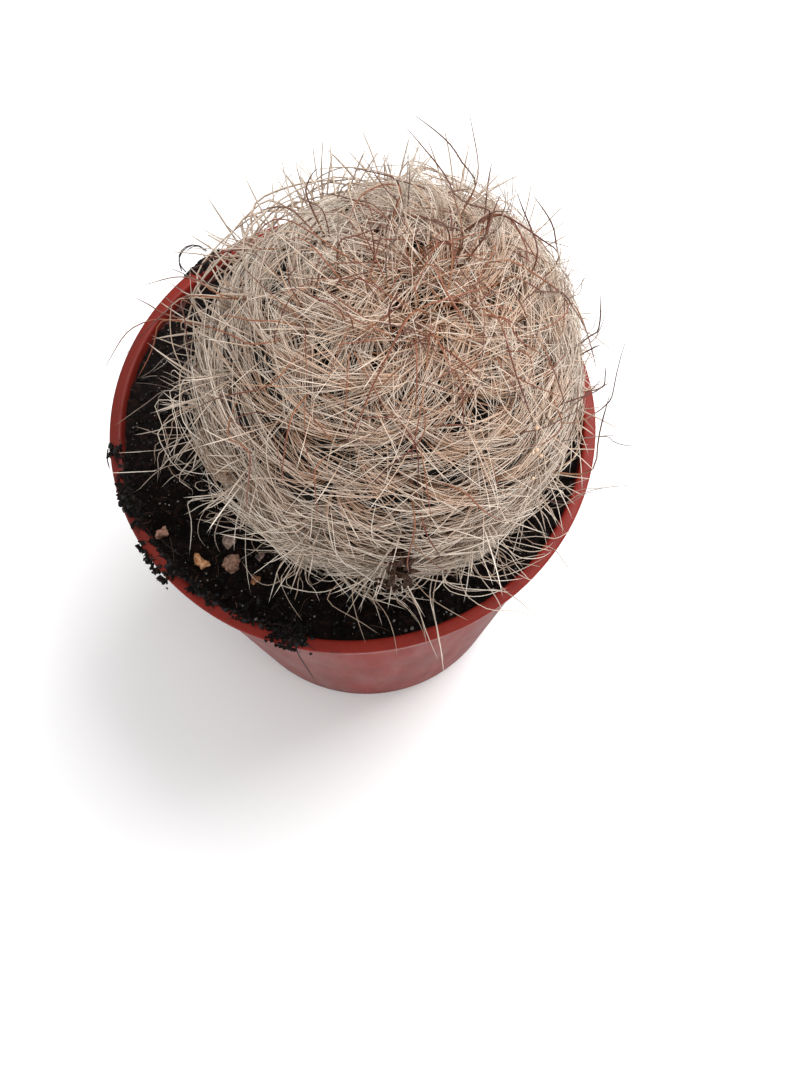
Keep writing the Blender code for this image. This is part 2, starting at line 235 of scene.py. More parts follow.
for index in range(DRAIN_COUNT):
    angle = math.tau * (index + DRAIN_PHASE) / DRAIN_COUNT
    place = (DRAIN_CIRCLE * math.cos(angle), DRAIN_CIRCLE * math.sin(angle), FLOOR / 2)
    bpy.ops.mesh.primitive_cylinder_add(
        vertices=32, radius=DRAIN_RADIUS, depth=4 * FLOOR, location=place
    )
    hole = start("drain_hole")
    cut = pot.modifiers.new("drain", "BOOLEAN")
    cut.operation = "DIFFERENCE"
    cut.object = hole
    apply_all(pot)
    bpy.data.objects.remove(hole)
take(pot)
smooth_by(35)


def paint(red, shaded_skin, blue):
    """A colour as seen on a screen, 0 to 255 for each of the three, as the shader wants it."""
    seen = [value / 255 for value in (red, shaded_skin, blue)]
    light = [v / 12.92 if v <= 0.04045 else ((v + 0.055) / 1.055) ** 2.4 for v in seen]
    return (*light, 1.0)


def new_finish(name, **values):
    """A material with one Principled shader, whose sockets are set by name."""
    material = bpy.data.materials.new(name)
    material.use_nodes = True
    shader = material.node_tree.nodes["Principled BSDF"]
    for socket, value in values.items():
        shader.inputs[socket.replace("_", " ")].default_value = value
    return material


def add_node(material, kind, inputs, **settings):
    """A shader node. Each input is a value or another node's output."""
    made = material.node_tree.nodes.new("ShaderNode" + kind)
    for name, value in settings.items():
        setattr(made, name, value)
    for name, value in inputs.items():
        if isinstance(value, bpy.types.NodeSocket):
            material.node_tree.links.new(value, made.inputs[name])
        else:
            made.inputs[name].default_value = value
    return made


def place_of(material):
    return add_node(material, "TexCoord", {}).outputs["Object"]


def grain(material, size, detail=3.0, stretch=(1.0, 1.0, 1.0), shift=0.0):
    """Cloudy noise from 0 to 1 whose lumps are about the given size in metres."""
    seat = {"Vector": place_of(material), "Scale": stretch, "Location": (shift, shift, shift)}
    where = add_node(material, "Mapping", seat).outputs["Vector"]
    cloud = {"Vector": where, "Scale": 1.0 / size, "Detail": detail}
    return add_node(material, "TexNoise", cloud).outputs["Fac"]


def band(material, value, low, high, bottom=0.0, top=1.0):
    """Stretches a value between two limits to 0 and 1, or to others, and holds it beyond them."""
    ends = {"Value": value, "From Min": low, "From Max": high, "To Min": bottom, "To Max": top}
    return add_node(material, "MapRange", ends, clamp=True).outputs["Result"]


def combine(material, way, first, second):
    """The result of a Math node, by the name of its operation."""
    return add_node(material, "Math", {0: first, 1: second}, operation=way).outputs[0]


def blend(material, part, first, second):
    """A mix of two colours, by the part that the second one takes."""
    colours = {"Fac": part, "Color1": first, "Color2": second}
    return add_node(material, "MixRGB", colours).outputs["Color"]


def mottle(material, shade_toned, light, size, detail=3.0):
    """A colour that drifts between two shades."""
    return blend(material, grain(material, size, detail), paint(*shade_toned), paint(*light))


def fleck(material, colour, shade, most, limits, size, **cloud):
    """A colour with specks of another shade, where a noise of the given size passes its limits."""
    part = band(material, grain(material, size, **cloud), *limits, 0.0, most)
    return blend(material, part, colour, paint(*shade))


def connect(material, socket, output):
    shader = material.node_tree.nodes["Principled BSDF"]
    material.node_tree.links.new(output, shader.inputs[socket])


def dress(piece, material, colour=None, relief=None):
    """Gives a finished piece its body and its material, to which a colour and a
    fine relief, by its size, detail and depth, are added where they are given."""
    if colour is not None:
        connect(material, "Base Color", colour)
    if relief is not None:
        size, detail, depth = relief
        bump = {"Height": grain(material, size, detail), "Distance": depth, "Strength": 1.0}
        connect(material, "Normal", add_node(material, "Bump", bump).outputs["Normal"])
    piece.data.materials.clear()
    piece.data.materials.append(material)
    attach(piece, "root")


plastic = new_finish("pot_plastic", IOR=1.45, Specular_IOR_Level=0.16)
red = mottle(plastic, (130, 33, 25), (154, 46, 34), 0.022)
red = fleck(plastic, red, (104, 28, 24), 0.4, (0.50, 0.75), 0.0035, stretch=SMEARED, shift=0.4)
spot = add_node(plastic, "SeparateXYZ", {"Vector": place_of(plastic)})
# Painted shade: the left side of the pot, rim and wall, is painted darker for the shade that the
# plant casts there.
painted_shade_left = band(plastic, spot.outputs["X"], -0.028, -0.041, 0.0, 0.55)
red = blend(plastic, painted_shade_left, red, paint(70, 26, 21))
height = spot.outputs["Z"]
below_rim = band(plastic, height, *(rim_low + part for part in RIM_BLEND))
# Painted sheen: a cloudy mauve grey, in soft upright streaks, is painted over the wall below the
# rim for the pale surroundings that the satin wall reflects at a slant.
painted_sheen = band(plastic, grain(plastic, 0.030, 2.0, shift=1.7), 0.35, 0.65, 0.20, 0.42)
sheen_patches = grain(plastic, 0.0055, 2.0, stretch=(1.0, 1.0, 0.17), shift=3.1)
painted_sheen = combine(plastic, "ADD", painted_sheen, band(plastic, sheen_patches, 0.35, 0.65, 0.0, 0.16))
painted_sheen = combine(plastic, "MULTIPLY", painted_sheen, below_rim)
red = blend(plastic, painted_sheen, red, paint(90, 66, 65))
# Painted reflection: a grey veil on the wall below the rim, left off at the spot that faces the
# view in front and strongest towards the sides, where the wall is seen at a slant.
flat = {"Vector": place_of(plastic), "Scale": (1.0, 1.0, 0.0)}
ends = {0: add_node(plastic, "Mapping", flat).outputs["Vector"], 1: CAMERA_FACING_SPOT}
from_facing_spot = add_node(plastic, "VectorMath", ends, operation="DISTANCE").outputs["Value"]
painted_reflection = band(plastic, from_facing_spot, 0.010, 0.018, 0.0, 0.22)
painted_reflection = combine(plastic, "MULTIPLY", painted_reflection, below_rim)
red = blend(plastic, painted_reflection, red, paint(116, 123, 120))
soiled = band(plastic, below_rim, 1.0, 0.0, 0.0, 0.36)
red = blend(plastic, soiled, red, paint(84, 28, 22))
stains = grain(plastic, 0.0034, 2.0, stretch=(1.0, 1.0, 0.4), shift=7.7)
stains = combine(plastic, "MULTIPLY", band(plastic, stains, 0.62, 0.76, 0.0, 0.35), below_rim)
red = blend(plastic, stains, red, paint(88, 40, 38))
# Painted shadow: a dark line at the foot of the rim's outer face and just under it, for the shadow
# under the rim.
painted_rim_shadow = band(plastic, height, *(rim_low + part for part in RIM_SHADOW_BAND), 0.0, 0.75)
shadow_fade = band(plastic, height, rim_low + RIM_SHADOW_FOOT, rim_low)
painted_rim_shadow = combine(plastic, "MULTIPLY", painted_rim_shadow, shadow_fade)
red = blend(plastic, painted_rim_shadow, red, paint(52, 20, 17))
red = fleck(plastic, red, (48, 24, 19), 0.55, (0.64, 0.76), 0.0016, detail=5.0, stretch=STREAKED)
satin = band(plastic, grain(plastic, 0.004, stretch=SMEARED), 0.3, 0.7, 0.36, 0.55)
dull = band(plastic, below_rim, 0.0, 1.0, 0.0, 0.2)
connect(plastic, "Roughness", combine(plastic, "ADD", satin, dull))
dress(pot, plastic, red, (0.0006, 4.0, 0.00004))
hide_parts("pot")


# Compost. Moist black peat with a lumpy, crumbly top just under the rim, filled to the wall and
# down to the base. Its top is one fine skin raised by soft clods and small crumbs.
SOIL_DROP = 0.0033
SOIL_GAP = 0.0004
SOIL_ROLL = 0.0009
SOIL_ROLL_SPAN = 0.014
SOIL_CRUMB = 0.0006
SOIL_CRUMB_SPAN = 0.0042
SOIL_CLOD = 0.0016
SOIL_CLOD_SPAN = 0.0021
SOIL_FINE = 0.0006
SOIL_FINE_SPAN = 0.0008
HEAP_HEIGHT = 0.0038
HEAP_SPAN = 0.0060
HEAP_TURN = math.radians(222.0)
SOIL_EDGE = 0.0040
SOIL_WALL_GAP = 0.0001
HEAP_NARROW = 3
HEAP_UNEVEN = (0.75, 0.5)
HEAP_UNEVEN_SPAN = 0.006
CLOD_MIDDLE = 0.25
GRIT_CLEAR = 0.0013
GRIT_EASE = 0.0020
GRIT_COUNT = 8
SOIL_CUTS = 75
SOIL_CORNER = math.pi / 3
SOIL_FLOOR_GAP = 0.0003
SOIL_BASE_GAP = 0.0010
EDGE_PART = 0.9995
soil_top = POT_TOP - SOIL_DROP
soil_radius = outer_radius(soil_top) - WALL - SOIL_GAP
soil_low = FLOOR + SOIL_FLOOR_GAP
soil_base = outer_radius(soil_low) - WALL - SOIL_BASE_GAP
grit_boxes = [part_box("grit_%d" % (number + 1)) for number in range(GRIT_COUNT)]
grit_places = [(low + high) / 2 for low, high in grit_boxes]


def clamp(value):
    return max(0.0, min(1.0, value))


def noise_at(x, y, span, layer):
    return noise.noise(Vector((x / span, y / span, layer)))


def soil_height(x, y):
    """Height of the compost's lumpy top, as the solid has it."""
    roll = SOIL_ROLL * noise_at(x, y, SOIL_ROLL_SPAN, 0.3)
    return soil_top + roll + SOIL_CRUMB * noise_at(x, y, SOIL_CRUMB_SPAN, 7.1)


def clear_of_grit(x, y):
    """From 0 at a grit stone to 1 away from all of them."""
    nearest = min(math.hypot(x - place.x, y - place.y) for place in grit_places)
    return clamp((nearest - GRIT_CLEAR) / GRIT_EASE)


def crumb_height(x, y):
    """The same top with its clods and crumbs, heaped against the wall at the left and the front."""
    clods = SOIL_CLOD * (abs(noise_at(x, y, SOIL_CLOD_SPAN, 3.3)) - CLOD_MIDDLE)
    near = max(0.0, 1.0 - (soil_radius - math.hypot(x, y)) / HEAP_SPAN)
    side = (0.5 + 0.5 * math.cos(math.atan2(y, x) - HEAP_TURN)) ** HEAP_NARROW
    uneven = HEAP_UNEVEN[0] + HEAP_UNEVEN[1] * noise_at(x, y, HEAP_UNEVEN_SPAN, 2.2)
    heap = HEAP_HEIGHT * near * near * side * uneven * clear_of_grit(x, y)
    return soil_height(x, y) + heap + clods + SOIL_FINE * noise_at(x, y, SOIL_FINE_SPAN, 5.9)


def spread(vertex, factor):
    """Moves a point away from the pot's middle line."""
    vertex.co.x *= factor
    vertex.co.y *= factor


bpy.ops.mesh.primitive_circle_add(
    vertices=6, radius=soil_radius, fill_type="TRIFAN", location=(0.0, 0.0, soil_top)
)
soil = start("peat_fill")
pick_all()
bpy.ops.mesh.subdivide(number_cuts=SOIL_CUTS)
leave()
for vertex in soil.data.vertices:
    from_corner = abs(math.atan2(vertex.co.y, vertex.co.x) % SOIL_CORNER - SOIL_CORNER / 2)
    spread(vertex, math.cos(SOIL_CORNER / 2 - from_corner) / math.cos(SOIL_CORNER / 2))
pick(soil, "EDGE", lambda middle, along: middle.xy.length > soil_radius * EDGE_PART)
bpy.ops.mesh.extrude_edges_move(TRANSFORM_OT_translate={"value": (0.0, 0.0, soil_low - soil_top)})
widen(soil_base / soil_radius)
bpy.ops.mesh.edge_face_add()
pick_all()
bpy.ops.mesh.normals_make_consistent(inside=False)
leave()
for vertex in soil.data.vertices:
    if vertex.co.z > POT_TOP / 2:
        vertex.co.z = crumb_height(vertex.co.x, vertex.co.y)
        reach = vertex.co.xy.length
        wall = (rim_inside - floor_radius) * (vertex.co.z - FLOOR) / (POT_TOP - FLOOR)
        at_edge = max(0.0, 1.0 - (soil_radius - reach) / SOIL_EDGE)
        to_wall = floor_radius + wall - SOIL_WALL_GAP - soil_radius
        spread(vertex, 1.0 + at_edge * to_wall / soil_radius)
take(soil)
smooth_by(60)

peat = new_finish("black_peat", Roughness=0.88, Specular_IOR_Level=0.10)
earth = mottle(peat, (5, 3, 3), (24, 17, 15), 0.0035, 5.0)
earth = fleck(peat, earth, (48, 30, 24), 0.6, (0.56, 0.70), 0.0016, detail=4.0, shift=2.1)
earth = fleck(peat, earth, (96, 90, 86), 0.45, (0.64, 0.72), 0.0006, shift=5.2)
dress(soil, peat, earth, (0.0005, 6.0, 0.0005))
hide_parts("soil")


# Crumbs. Loose peat crumbs lie all over the compost, with heaps on the rim at the left, the
# front and the back. Many fine grey and white grains lie between them.
CRUMB_SEED = 12
CRUMB_COUNT = 2600
CRUMB_SIZE = (0.00025, 0.0010)
CLOD_COUNT = 200
CLOD_SIZE = (0.0009, 0.0022)
PERLITE_COUNT = 1100
PERLITE_SIZE = (0.00014, 0.00052)
LARGE_PERLITE_SHARE = 0.03
LARGE_PERLITE = 1.8
SHOWN_PERLITE = (
    (412, 629, 0.00100),
    (406, 631, 0.00090),
    (384, 633, 0.00050),
    (394, 621, 0.00060),
    (451, 615, 0.00075),
    (294, 621, 0.00110),
    (302, 641, 0.00070),
    (256, 620, 0.00080),
    (493, 590, 0.00055),
    (478, 588, 0.00055),
    (258, 557, 0.00090),
)
SPILLS = (
    ((114, 450), 0.0012, 34, 0.0004),
    ((121, 477), 0.0009, 10, 0.0),
    ((122, 487), 0.0013, 30, 0.0),
    ((126, 496), 0.0017, 70, 0.0001),
    ((130, 506), 0.0017, 70, 0.0001),
    ((134, 515), 0.0012, 30, 0.0),
    ((139, 527), 0.0012, 6, 0.0),
    ((139, 546), 0.0011, 22, 0.0006),
    ((147, 557), 0.0010, 22, 0.0009),
    ((154, 567), 0.0011, 26, 0.0010),
    ((161, 577), 0.0012, 30, 0.0010),
    ((173, 573), 0.0012, 30, 0.0),
    ((192, 589), 0.0011, 16, 0.0),
    ((213, 602), 0.0016, 20, 0.0),
    ((287, 633), 0.0033, 220, 0.0001),
    ((298, 637), 0.0024, 90, 0.0002),
    ((262, 622), 0.0018, 24, 0.0),
    ((204, 259), 0.0036, 300, 0.0004),
    ((190, 268), 0.0018, 40, 0.0002),
    ((431, 233), 0.0030, 30, 0.0),
    ((546, 331), 0.0024, 20, 0.0),
)
SPILL_SIZE = (0.00025, 0.0011)
SPILL_DROP = 0.0022
SPILL_PILE = 0.0006
CREEP_COUNT = 1300
CREEP_TURNS = (math.radians(188.0), math.radians(256.0))
CREEP_REACH = 0.0007
CREEP_SPAN = 0.0027
CREEP_SINK = 0.0002
SPILL_HANG = (0.1, 1.1)
CREEP_RAGGED = (0.4, 1.6)
SPILL_TIGHTNESS = 2.2
CRUMB_JAG = 0.28
CRUMB_RISE = 0.2
CLOD_JAG = 0.24
CLOD_RISE = 0.15
PERLITE_JAG = 0.22
PERLITE_RISE = 0.4
SHOWN_PERLITE_JAG = 0.12
SHOWN_PERLITE_RISE = 0.45
LUMP_REACH = (0.4, 1.5)
LUMP_STRETCH = (0.55, 1.15)
LUMP_SQUASH = (1.0, 1.0, 0.75)
SCATTER_PART = (0.02, 0.985)


def ball(name, subdivisions):
    bpy.ops.mesh.primitive_ico_sphere_add(subdivisions=subdivisions, radius=1.0)
    return start(name)


def blank_of(piece):
    """Points and triangles of a piece, which is then removed."""
    piece.data.calc_loop_triangles()
    points = np.array([vertex.co[:] for vertex in piece.data.vertices])
    faces = np.array([triangle.vertices[:] for triangle in piece.data.loop_triangles])
    bpy.data.objects.remove(piece)
    return points, faces


def piece_from(name, copies, smooth=True):
    """One object made of many copies, each given as its points and its triangles."""
    point_sets, face_sets = zip(*copies)
    points = np.concatenate(point_sets)
    offsets = np.cumsum([0] + [len(points_of) for points_of in point_sets[:-1]])
    faces = np.concatenate([faces_of + offset for faces_of, offset in zip(face_sets, offsets)])
    mesh = bpy.data.meshes.new(name)
    mesh.vertices.add(len(points))
    mesh.vertices.foreach_set("co", points.astype(np.float32).ravel())
    mesh.loops.add(faces.size)
    mesh.loops.foreach_set("vertex_index", faces.astype(np.int32).ravel())
    mesh.polygons.add(len(faces))
    mesh.polygons.foreach_set("loop_start", np.arange(0, faces.size, 3, dtype=np.int32))
    mesh.polygons.foreach_set("use_smooth", np.full(len(faces), smooth))
    mesh.update(calc_edges=True)
    piece = bpy.data.objects.new(name, mesh)
    bpy.context.scene.collection.objects.link(piece)
    return piece


def random_turn(draw):
    """A random rotation as a 3 by 3 array."""
    turn, _ = np.linalg.qr(draw.normal(size=(3, 3)))
    return turn * np.sign(np.linalg.det(turn))


def ground_height(x, y):
    """Height of what lies under a point: the compost, the rim, or the floor outside the pot."""
    reach = math.hypot(x, y)
    if reach < rim_inside:
        return crumb_height(x, y)
    return POT_TOP if reach < RIM_RADIUS else 0.0


def lump(blank, draw, place, size, jag=CRUMB_JAG):
    """A copy of a blank ball as an irregular crumb of a given size, at a place."""
    points, faces = blank
    radii = 1.0 + jag * draw.normal(size=(len(points), 1))
    shape = points * np.clip(radii, *LUMP_REACH) * draw.uniform(*LUMP_STRETCH, size=3)
    return shape @ random_turn(draw).T * (size / 2) * np.array(LUMP_SQUASH) + place, faces


def scatter(draw):
    """A random point on the compost, out to the pot's wall and clear of the grit."""
    while True:
        reach = soil_radius * math.sqrt(draw.uniform(*SCATTER_PART))
        angle = draw.uniform(0.0, math.tau)
        x, y = reach * math.cos(angle), reach * math.sin(angle)
        if clear_of_grit(x, y) > 0.0:
            return x, y


def at_rim_level(across, down):
    """Where a pixel's line of sight meets the level of the rim's top."""
    line = sight(across, down)
    return CAMERA_PLACE + line * (POT_TOP - CAMERA_PLACE.z) / line.z


def on_ground(across, down):
    """Where a pixel's line of sight meets the top of the compost or the rim."""
    place = at_rim_level(across, down)
    line = sight(across, down)
    return place + line * (ground_height(place.x, place.y) - POT_TOP) / line.z


small_ball = blank_of(ball("small_crumb", 1))
large_ball = blank_of(ball("large_crumb", 2))
draw = np.random.default_rng(CRUMB_SEED)
crumbs = []
for blank, count, sizes, rise, jag in (
    (small_ball, CRUMB_COUNT, CRUMB_SIZE, CRUMB_RISE, CRUMB_JAG),
    (large_ball, CLOD_COUNT, CLOD_SIZE, CLOD_RISE, CLOD_JAG),
):
    for _ in range(count):
        x, y = scatter(draw)
        size = draw.uniform(*sizes)
        crumbs.append(lump(blank, draw, (x, y, ground_height(x, y) + size * rise), size, jag))
for (across, down), spill_span, count, overhang in SPILLS:
    middle = at_rim_level(across, down)
    for _ in range(count):
        x, y = draw.normal(middle.xy, spill_span / SPILL_TIGHTNESS)
        size = draw.uniform(*SPILL_SIZE)
        reach = math.hypot(x, y)
        inward = min(1.0, (RIM_RADIUS + overhang - size * CRUMB_RISE) / reach)
        x, y = x * inward, y * inward
        near = max(0.0, 1.0 - math.hypot(x - middle.x, y - middle.y) / spill_span)
        base = max(ground_height(x, y), POT_TOP - SPILL_DROP * (1.0 - near))
        base = base + near * draw.uniform(0.0, SPILL_PILE)
        if reach > RIM_RADIUS and overhang > 0.0:
            base = POT_TOP - draw.uniform(*SPILL_HANG) * RIM_DEPTH
        crumbs.append(lump(small_ball, draw, (x, y, base + size * CRUMB_RISE), size))
for _ in range(CREEP_COUNT):
    turn = draw.uniform(*CREEP_TURNS)
    ragged = CREEP_RAGGED[1] * noise_at(turn * RIM_RADIUS, 0.0, CREEP_SPAN, 4.4)
    ragged = max(0.0, CREEP_RAGGED[0] + ragged)
    reach = rim_inside + draw.uniform(-1.0, 1.0) * CREEP_REACH * ragged
    x, y = reach * math.cos(turn), reach * math.sin(turn)
    size = draw.uniform(*CRUMB_SIZE)
    if clear_of_grit(x, y) > 0.0:
        base = crumb_height(x, y)
        base = max(base, POT_TOP - CREEP_SINK) if reach > rim_inside else base
        crumbs.append(lump(small_ball, draw, (x, y, base), size))
loose_peat = piece_from("loose_peat", crumbs, smooth=False)
crumb = new_finish("peat_crumbs", Roughness=0.7, Specular_IOR_Level=0.12)
shades = mottle(crumb, (4, 3, 3), (24, 18, 16), 0.0022, 4.0)
# Painted highlights: these grey flecks stand for glints of light on the moist crumbs.
shades = fleck(crumb, shades, (58, 56, 58), 0.8, (0.56, 0.70), 0.0010, detail=2.0, shift=6.3)
shades = fleck(crumb, shades, (70, 48, 38), 0.7, (0.60, 0.70), 0.0013, detail=2.0, shift=9.7)
dress(loose_peat, crumb, shades, (0.0004, 4.0, 0.0003))

grains = []
for _ in range(PERLITE_COUNT):
    x, y = scatter(draw)
    size = draw.uniform(*PERLITE_SIZE)
    size = size * LARGE_PERLITE if draw.random() < LARGE_PERLITE_SHARE else size
    z = ground_height(x, y) + size * PERLITE_RISE
    grains.append(lump(small_ball, draw, (x, y, z), size, PERLITE_JAG))
for across, down, size in SHOWN_PERLITE:
    x, y, z = on_ground(across, down)
    z = z + size * SHOWN_PERLITE_RISE
    grains.append(lump(small_ball, draw, (x, y, z), size, SHOWN_PERLITE_JAG))
perlite = piece_from("perlite_grains", grains)
grey_white = new_finish("perlite", Roughness=0.9)
dark_grey = paint(56, 53, 52)
shades = fleck(grey_white, dark_grey, (172, 168, 162), 1.0, (0.35, 0.70), 0.004, detail=1.0)
dress(perlite, grey_white, shades)


# Grit stones. Eight rough mineral grains lie pressed into the compost: tan, orange tan and pale
# pinkish, each with dented faces and a mottled colour. The light flecks of the mottle stand partly
# for painted highlights, and fine dark specks for painted shade in small pits.
GRIT_SEED = 31
GRIT_FACETS = 9
GRIT_FACET_DEPTH = (0.62, 0.92)
GRIT_RELIEF = 0.10
GRIT_BUMPS = 2.6
GRIT_LOBES = (
    ((0.55, 0.25, 0.0), (-0.5, -0.2, 0.0)),
    ((0.6, -0.45, 0.0), (-0.5, 0.35, 0.0)),
    ((0.5, 0.1, 0.0), (-0.45, 0.1, 0.1)),
    ((0.1, 0.5, 0.0), (0.0, -0.5, 0.0), (-0.45, 0.1, 0.0)),
    ((0.2, 0.2, 0.0), (-0.4, -0.3, 0.0)),
    ((0.6, 0.3, 0.0), (-0.45, -0.3, 0.0), (-0.2, 0.5, 0.0)),
    ((0.4, 0.0, 0.0), (-0.3, 0.2, 0.0)),
    ((0.3, 0.4, 0.0), (-0.4, -0.2, 0.0)),
)
GRIT_LOBE_RADIUS = 0.62
GRIT_COLOURS = (
    ((204, 156, 136), (146, 102, 86)),
    ((250, 192, 142), (186, 116, 68)),
    ((186, 162, 148), (126, 102, 92)),
    ((172, 132, 110), (108, 78, 62)),
    ((150, 122, 114), (84, 66, 62)),
    ((196, 136, 88), (124, 78, 50)),
    ((186, 136, 104), (118, 76, 52)),
    ((180, 152, 134), (118, 92, 78)),
)
GRIT_CORE = 0.8
GRIT_FRACTAL = (0.6, 2.0, 4)


def grit_reach(direction, lobes, facets):
    """Distance to a stone's surface: rounded lobes that run together, cut by flat facets."""
    reach = GRIT_LOBE_RADIUS * GRIT_CORE
    for lobe in lobes:
        middle = Vector(lobe)
        along = direction.dot(middle)
        spare = GRIT_LOBE_RADIUS**2 - (middle.length_squared - along**2)
        if spare > 0.0:
            reach = max(reach, along + math.sqrt(spare))
    for normal, depth in facets:
        facing = direction.dot(normal)
        if facing > 0.05:
            reach = min(reach, depth / facing)
    return reach


draw = np.random.default_rng(GRIT_SEED)
for index, (light_side, dark_side) in enumerate(GRIT_COLOURS):
    node = "grit_%d" % (index + 1)
    low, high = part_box(node)
    stone = ball("grit_stone_%d" % (index + 1), 5)
    offset = Vector((4.0 * index, 0.0, 0.0))
    facets = [
        (Vector(draw.normal(size=3)).normalized(), draw.uniform(*GRIT_FACET_DEPTH))
        for _ in range(GRIT_FACETS)
    ]
    for vertex in stone.data.vertices:
        direction = vertex.co.normalized()
        rough = 1.0 + GRIT_RELIEF * noise.fractal(direction * GRIT_BUMPS + offset, *GRIT_FRACTAL)
        vertex.co = direction * grit_reach(direction, GRIT_LOBES[index], facets) * rough
    lowest, highest = (
        Vector(map(furthest, *(vertex.co for vertex in stone.data.vertices)))
        for furthest in (min, max)
    )
    for vertex in stone.data.vertices:
        for axis in range(3):
            part = (vertex.co[axis] - lowest[axis]) / (highest[axis] - lowest[axis])
            vertex.co[axis] = low[axis] + part * (high[axis] - low[axis])
    take(stone)
    smooth_by(38)
    mineral = new_finish("grit_%d_mineral" % (index + 1), Roughness=0.75)
    surface = paint(*dark_side)
    # Light flecks over the dark ground, partly painted highlights, then fine dark specks painted as
    # shade in small pits.
    surface = fleck(mineral, surface, light_side, 1.0, (0.38, 0.60), 0.0008, detail=5.0)
    surface = fleck(mineral, surface, (58, 38, 30), 0.8, (0.42, 0.34), 0.0005, shift=4.6)
    dress(stone, mineral, surface, (0.0003, 4.0, 0.00014))
    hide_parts(node)


# Cactus body. A globe of fourteen ribs with a cushion, or areole, at every second notch along
# each crest, alternating from rib to rib. The skin, a dark brownish green, is painted almost black
# for the shade under the hair, and the body narrows below to the neck that stands in the compost.
FOOT = (0.0019, -0.0011)
LEAN_RIGHT = math.radians(9.7)
LEAN_FRONT = math.radians(6.0)
BODY_RISE = 0.0252
BODY_RADIUS = 0.0262
BODY_HALF_HEIGHT = 0.0282
RIBS = 14
RIB_TURN = math.radians(15.0)
BODY_ROWS = 20
ROW_ANGLE = math.radians(7.4)
FURROW_DEPTH = 0.0024
NOTCH_DEPTH = 0.0010
RELIEF_FADE_ROWS = 4
CROWN_DIP = 0.0016
CROWN_DIP_ANGLE = math.radians(13.0)
NECK = ((0.0108, -0.0275), (0.0100, -0.0330), (0.0070, -0.0385), (0.0030, -0.0393))
SKIN_COLUMNS = 12 * RIBS
SKIN_ROWS = 6 * BODY_ROWS

plant_frame = (
    Matrix.Translation((FOOT[0], FOOT[1], POT_TOP - SOIL_DROP))
    @ Matrix.Rotation(LEAN_RIGHT, 4, "Y")
    @ Matrix.Rotation(LEAN_FRONT, 4, "X")
    @ Matrix.Translation((0.0, 0.0, BODY_RISE))
    @ Matrix.Rotation(RIB_TURN, 4, "Z")
)


def skin_distance(directions):
    """Distance from the body's middle to the rib crests, for an array of unit directions."""
    across = np.hypot(directions[..., 0], directions[..., 1]) / BODY_RADIUS
    distance = 1.0 / np.hypot(across, directions[..., 2] / BODY_HALF_HEIGHT)
    tilt = np.arccos(np.clip(directions[..., 2], -1.0, 1.0))
    return distance - CROWN_DIP * np.exp(-((tilt / CROWN_DIP_ANGLE) ** 2))


def direction_at(turn, tilt):
    flat = math.sin(tilt)
    return np.array((flat * math.cos(turn), flat * math.sin(turn), math.cos(tilt)))


def skin_relief(turn, tilt):
    """How far the skin lies under the line of the crests: in the furrows and between cushions."""
    row = tilt / ROW_ANGLE
    rows_left = max(0.0, BODY_ROWS + 1 - row)
    fade = min(1.0, row / RELIEF_FADE_ROWS, rows_left / RELIEF_FADE_ROWS)
    rib = round(turn * RIBS / math.tau)
    furrow = 0.5 - 0.5 * math.cos(RIBS * turn)
    notch = (0.5 + 0.5 * math.cos(math.pi * (row + rib))) * (1.0 - furrow)
    return fade * (FURROW_DEPTH * furrow + NOTCH_DEPTH * notch)


neck_rows = len(NECK)
all_rows = SKIN_ROWS + neck_rows + 1
bpy.ops.mesh.primitive_uv_sphere_add(segments=SKIN_COLUMNS, ring_count=all_rows, radius=1.0)
body = start("ribbed_body")
for vertex in body.data.vertices:
    row = round(math.acos(max(-1.0, min(1.0, vertex.co.z))) / math.pi * all_rows)
    turn = math.atan2(vertex.co.y, vertex.co.x)
    if row <= SKIN_ROWS:
        tilt = ROW_ANGLE * BODY_ROWS * row / SKIN_ROWS
        direction = direction_at(turn, tilt)
        vertex.co = direction * (skin_distance(direction) - skin_relief(turn, tilt))
    else:
        radius, drop = NECK[min(row - SKIN_ROWS, neck_rows) - 1]
        radius = 0.0 if row == all_rows else radius
        vertex.co = Vector((radius * math.cos(turn), radius * math.sin(turn), drop))
body.data.transform(plant_frame)
take(body)
bpy.ops.object.shade_smooth()

skin = new_finish("cactus_skin", Roughness=0.7, Specular_IOR_Level=0.2)
# Painted shade: the skin is painted almost black for the shade that the hair coat casts on it.
shaded_skin = mottle(skin, (11, 11, 8), (26, 20, 15), 0.006)
shaded_skin = fleck(skin, shaded_skin, (38, 29, 22), 0.6, (0.5, 0.75), 0.0012, detail=4.0)
dress(body, skin, shaded_skin, (0.0004, 4.0, 0.0001))
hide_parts("cactus")


# Areoles. A little cushion of brown felt sits on each crest where a cluster of spines grows. All
# are grown from one blank, flattened on the skin and ruffled.
AREOLE_LENGTH = 0.0026
AREOLE_WIDTH = 0.0018
AREOLE_HEIGHT = 0.0008
AREOLE_RUFFLE = 0.14
AREOLE_ROWS = range(1, 19)
DOWN_STEP = 0.01
AREOLE_SEED = 3


def areoles():
    """Every cushion's row, direction from the body's middle, and the way down its rib."""
    found = []
    for row in AREOLE_ROWS:
        for rib in range(RIBS):
            if (row + rib) % 2 == 1:
                turn = math.tau * rib / RIBS
                tilt = ROW_ANGLE * row
                down = direction_at(turn, tilt + DOWN_STEP) - direction_at(turn, tilt - DOWN_STEP)
                found.append((row, direction_at(turn, tilt), down / np.linalg.norm(down)))
    return found


def to_world(points):
    """Points of the plant's own frame, as an array, in the frame of the part."""
    turn = np.array(plant_frame.to_3x3())
    return points @ turn.T + np.array(plant_frame.translation)


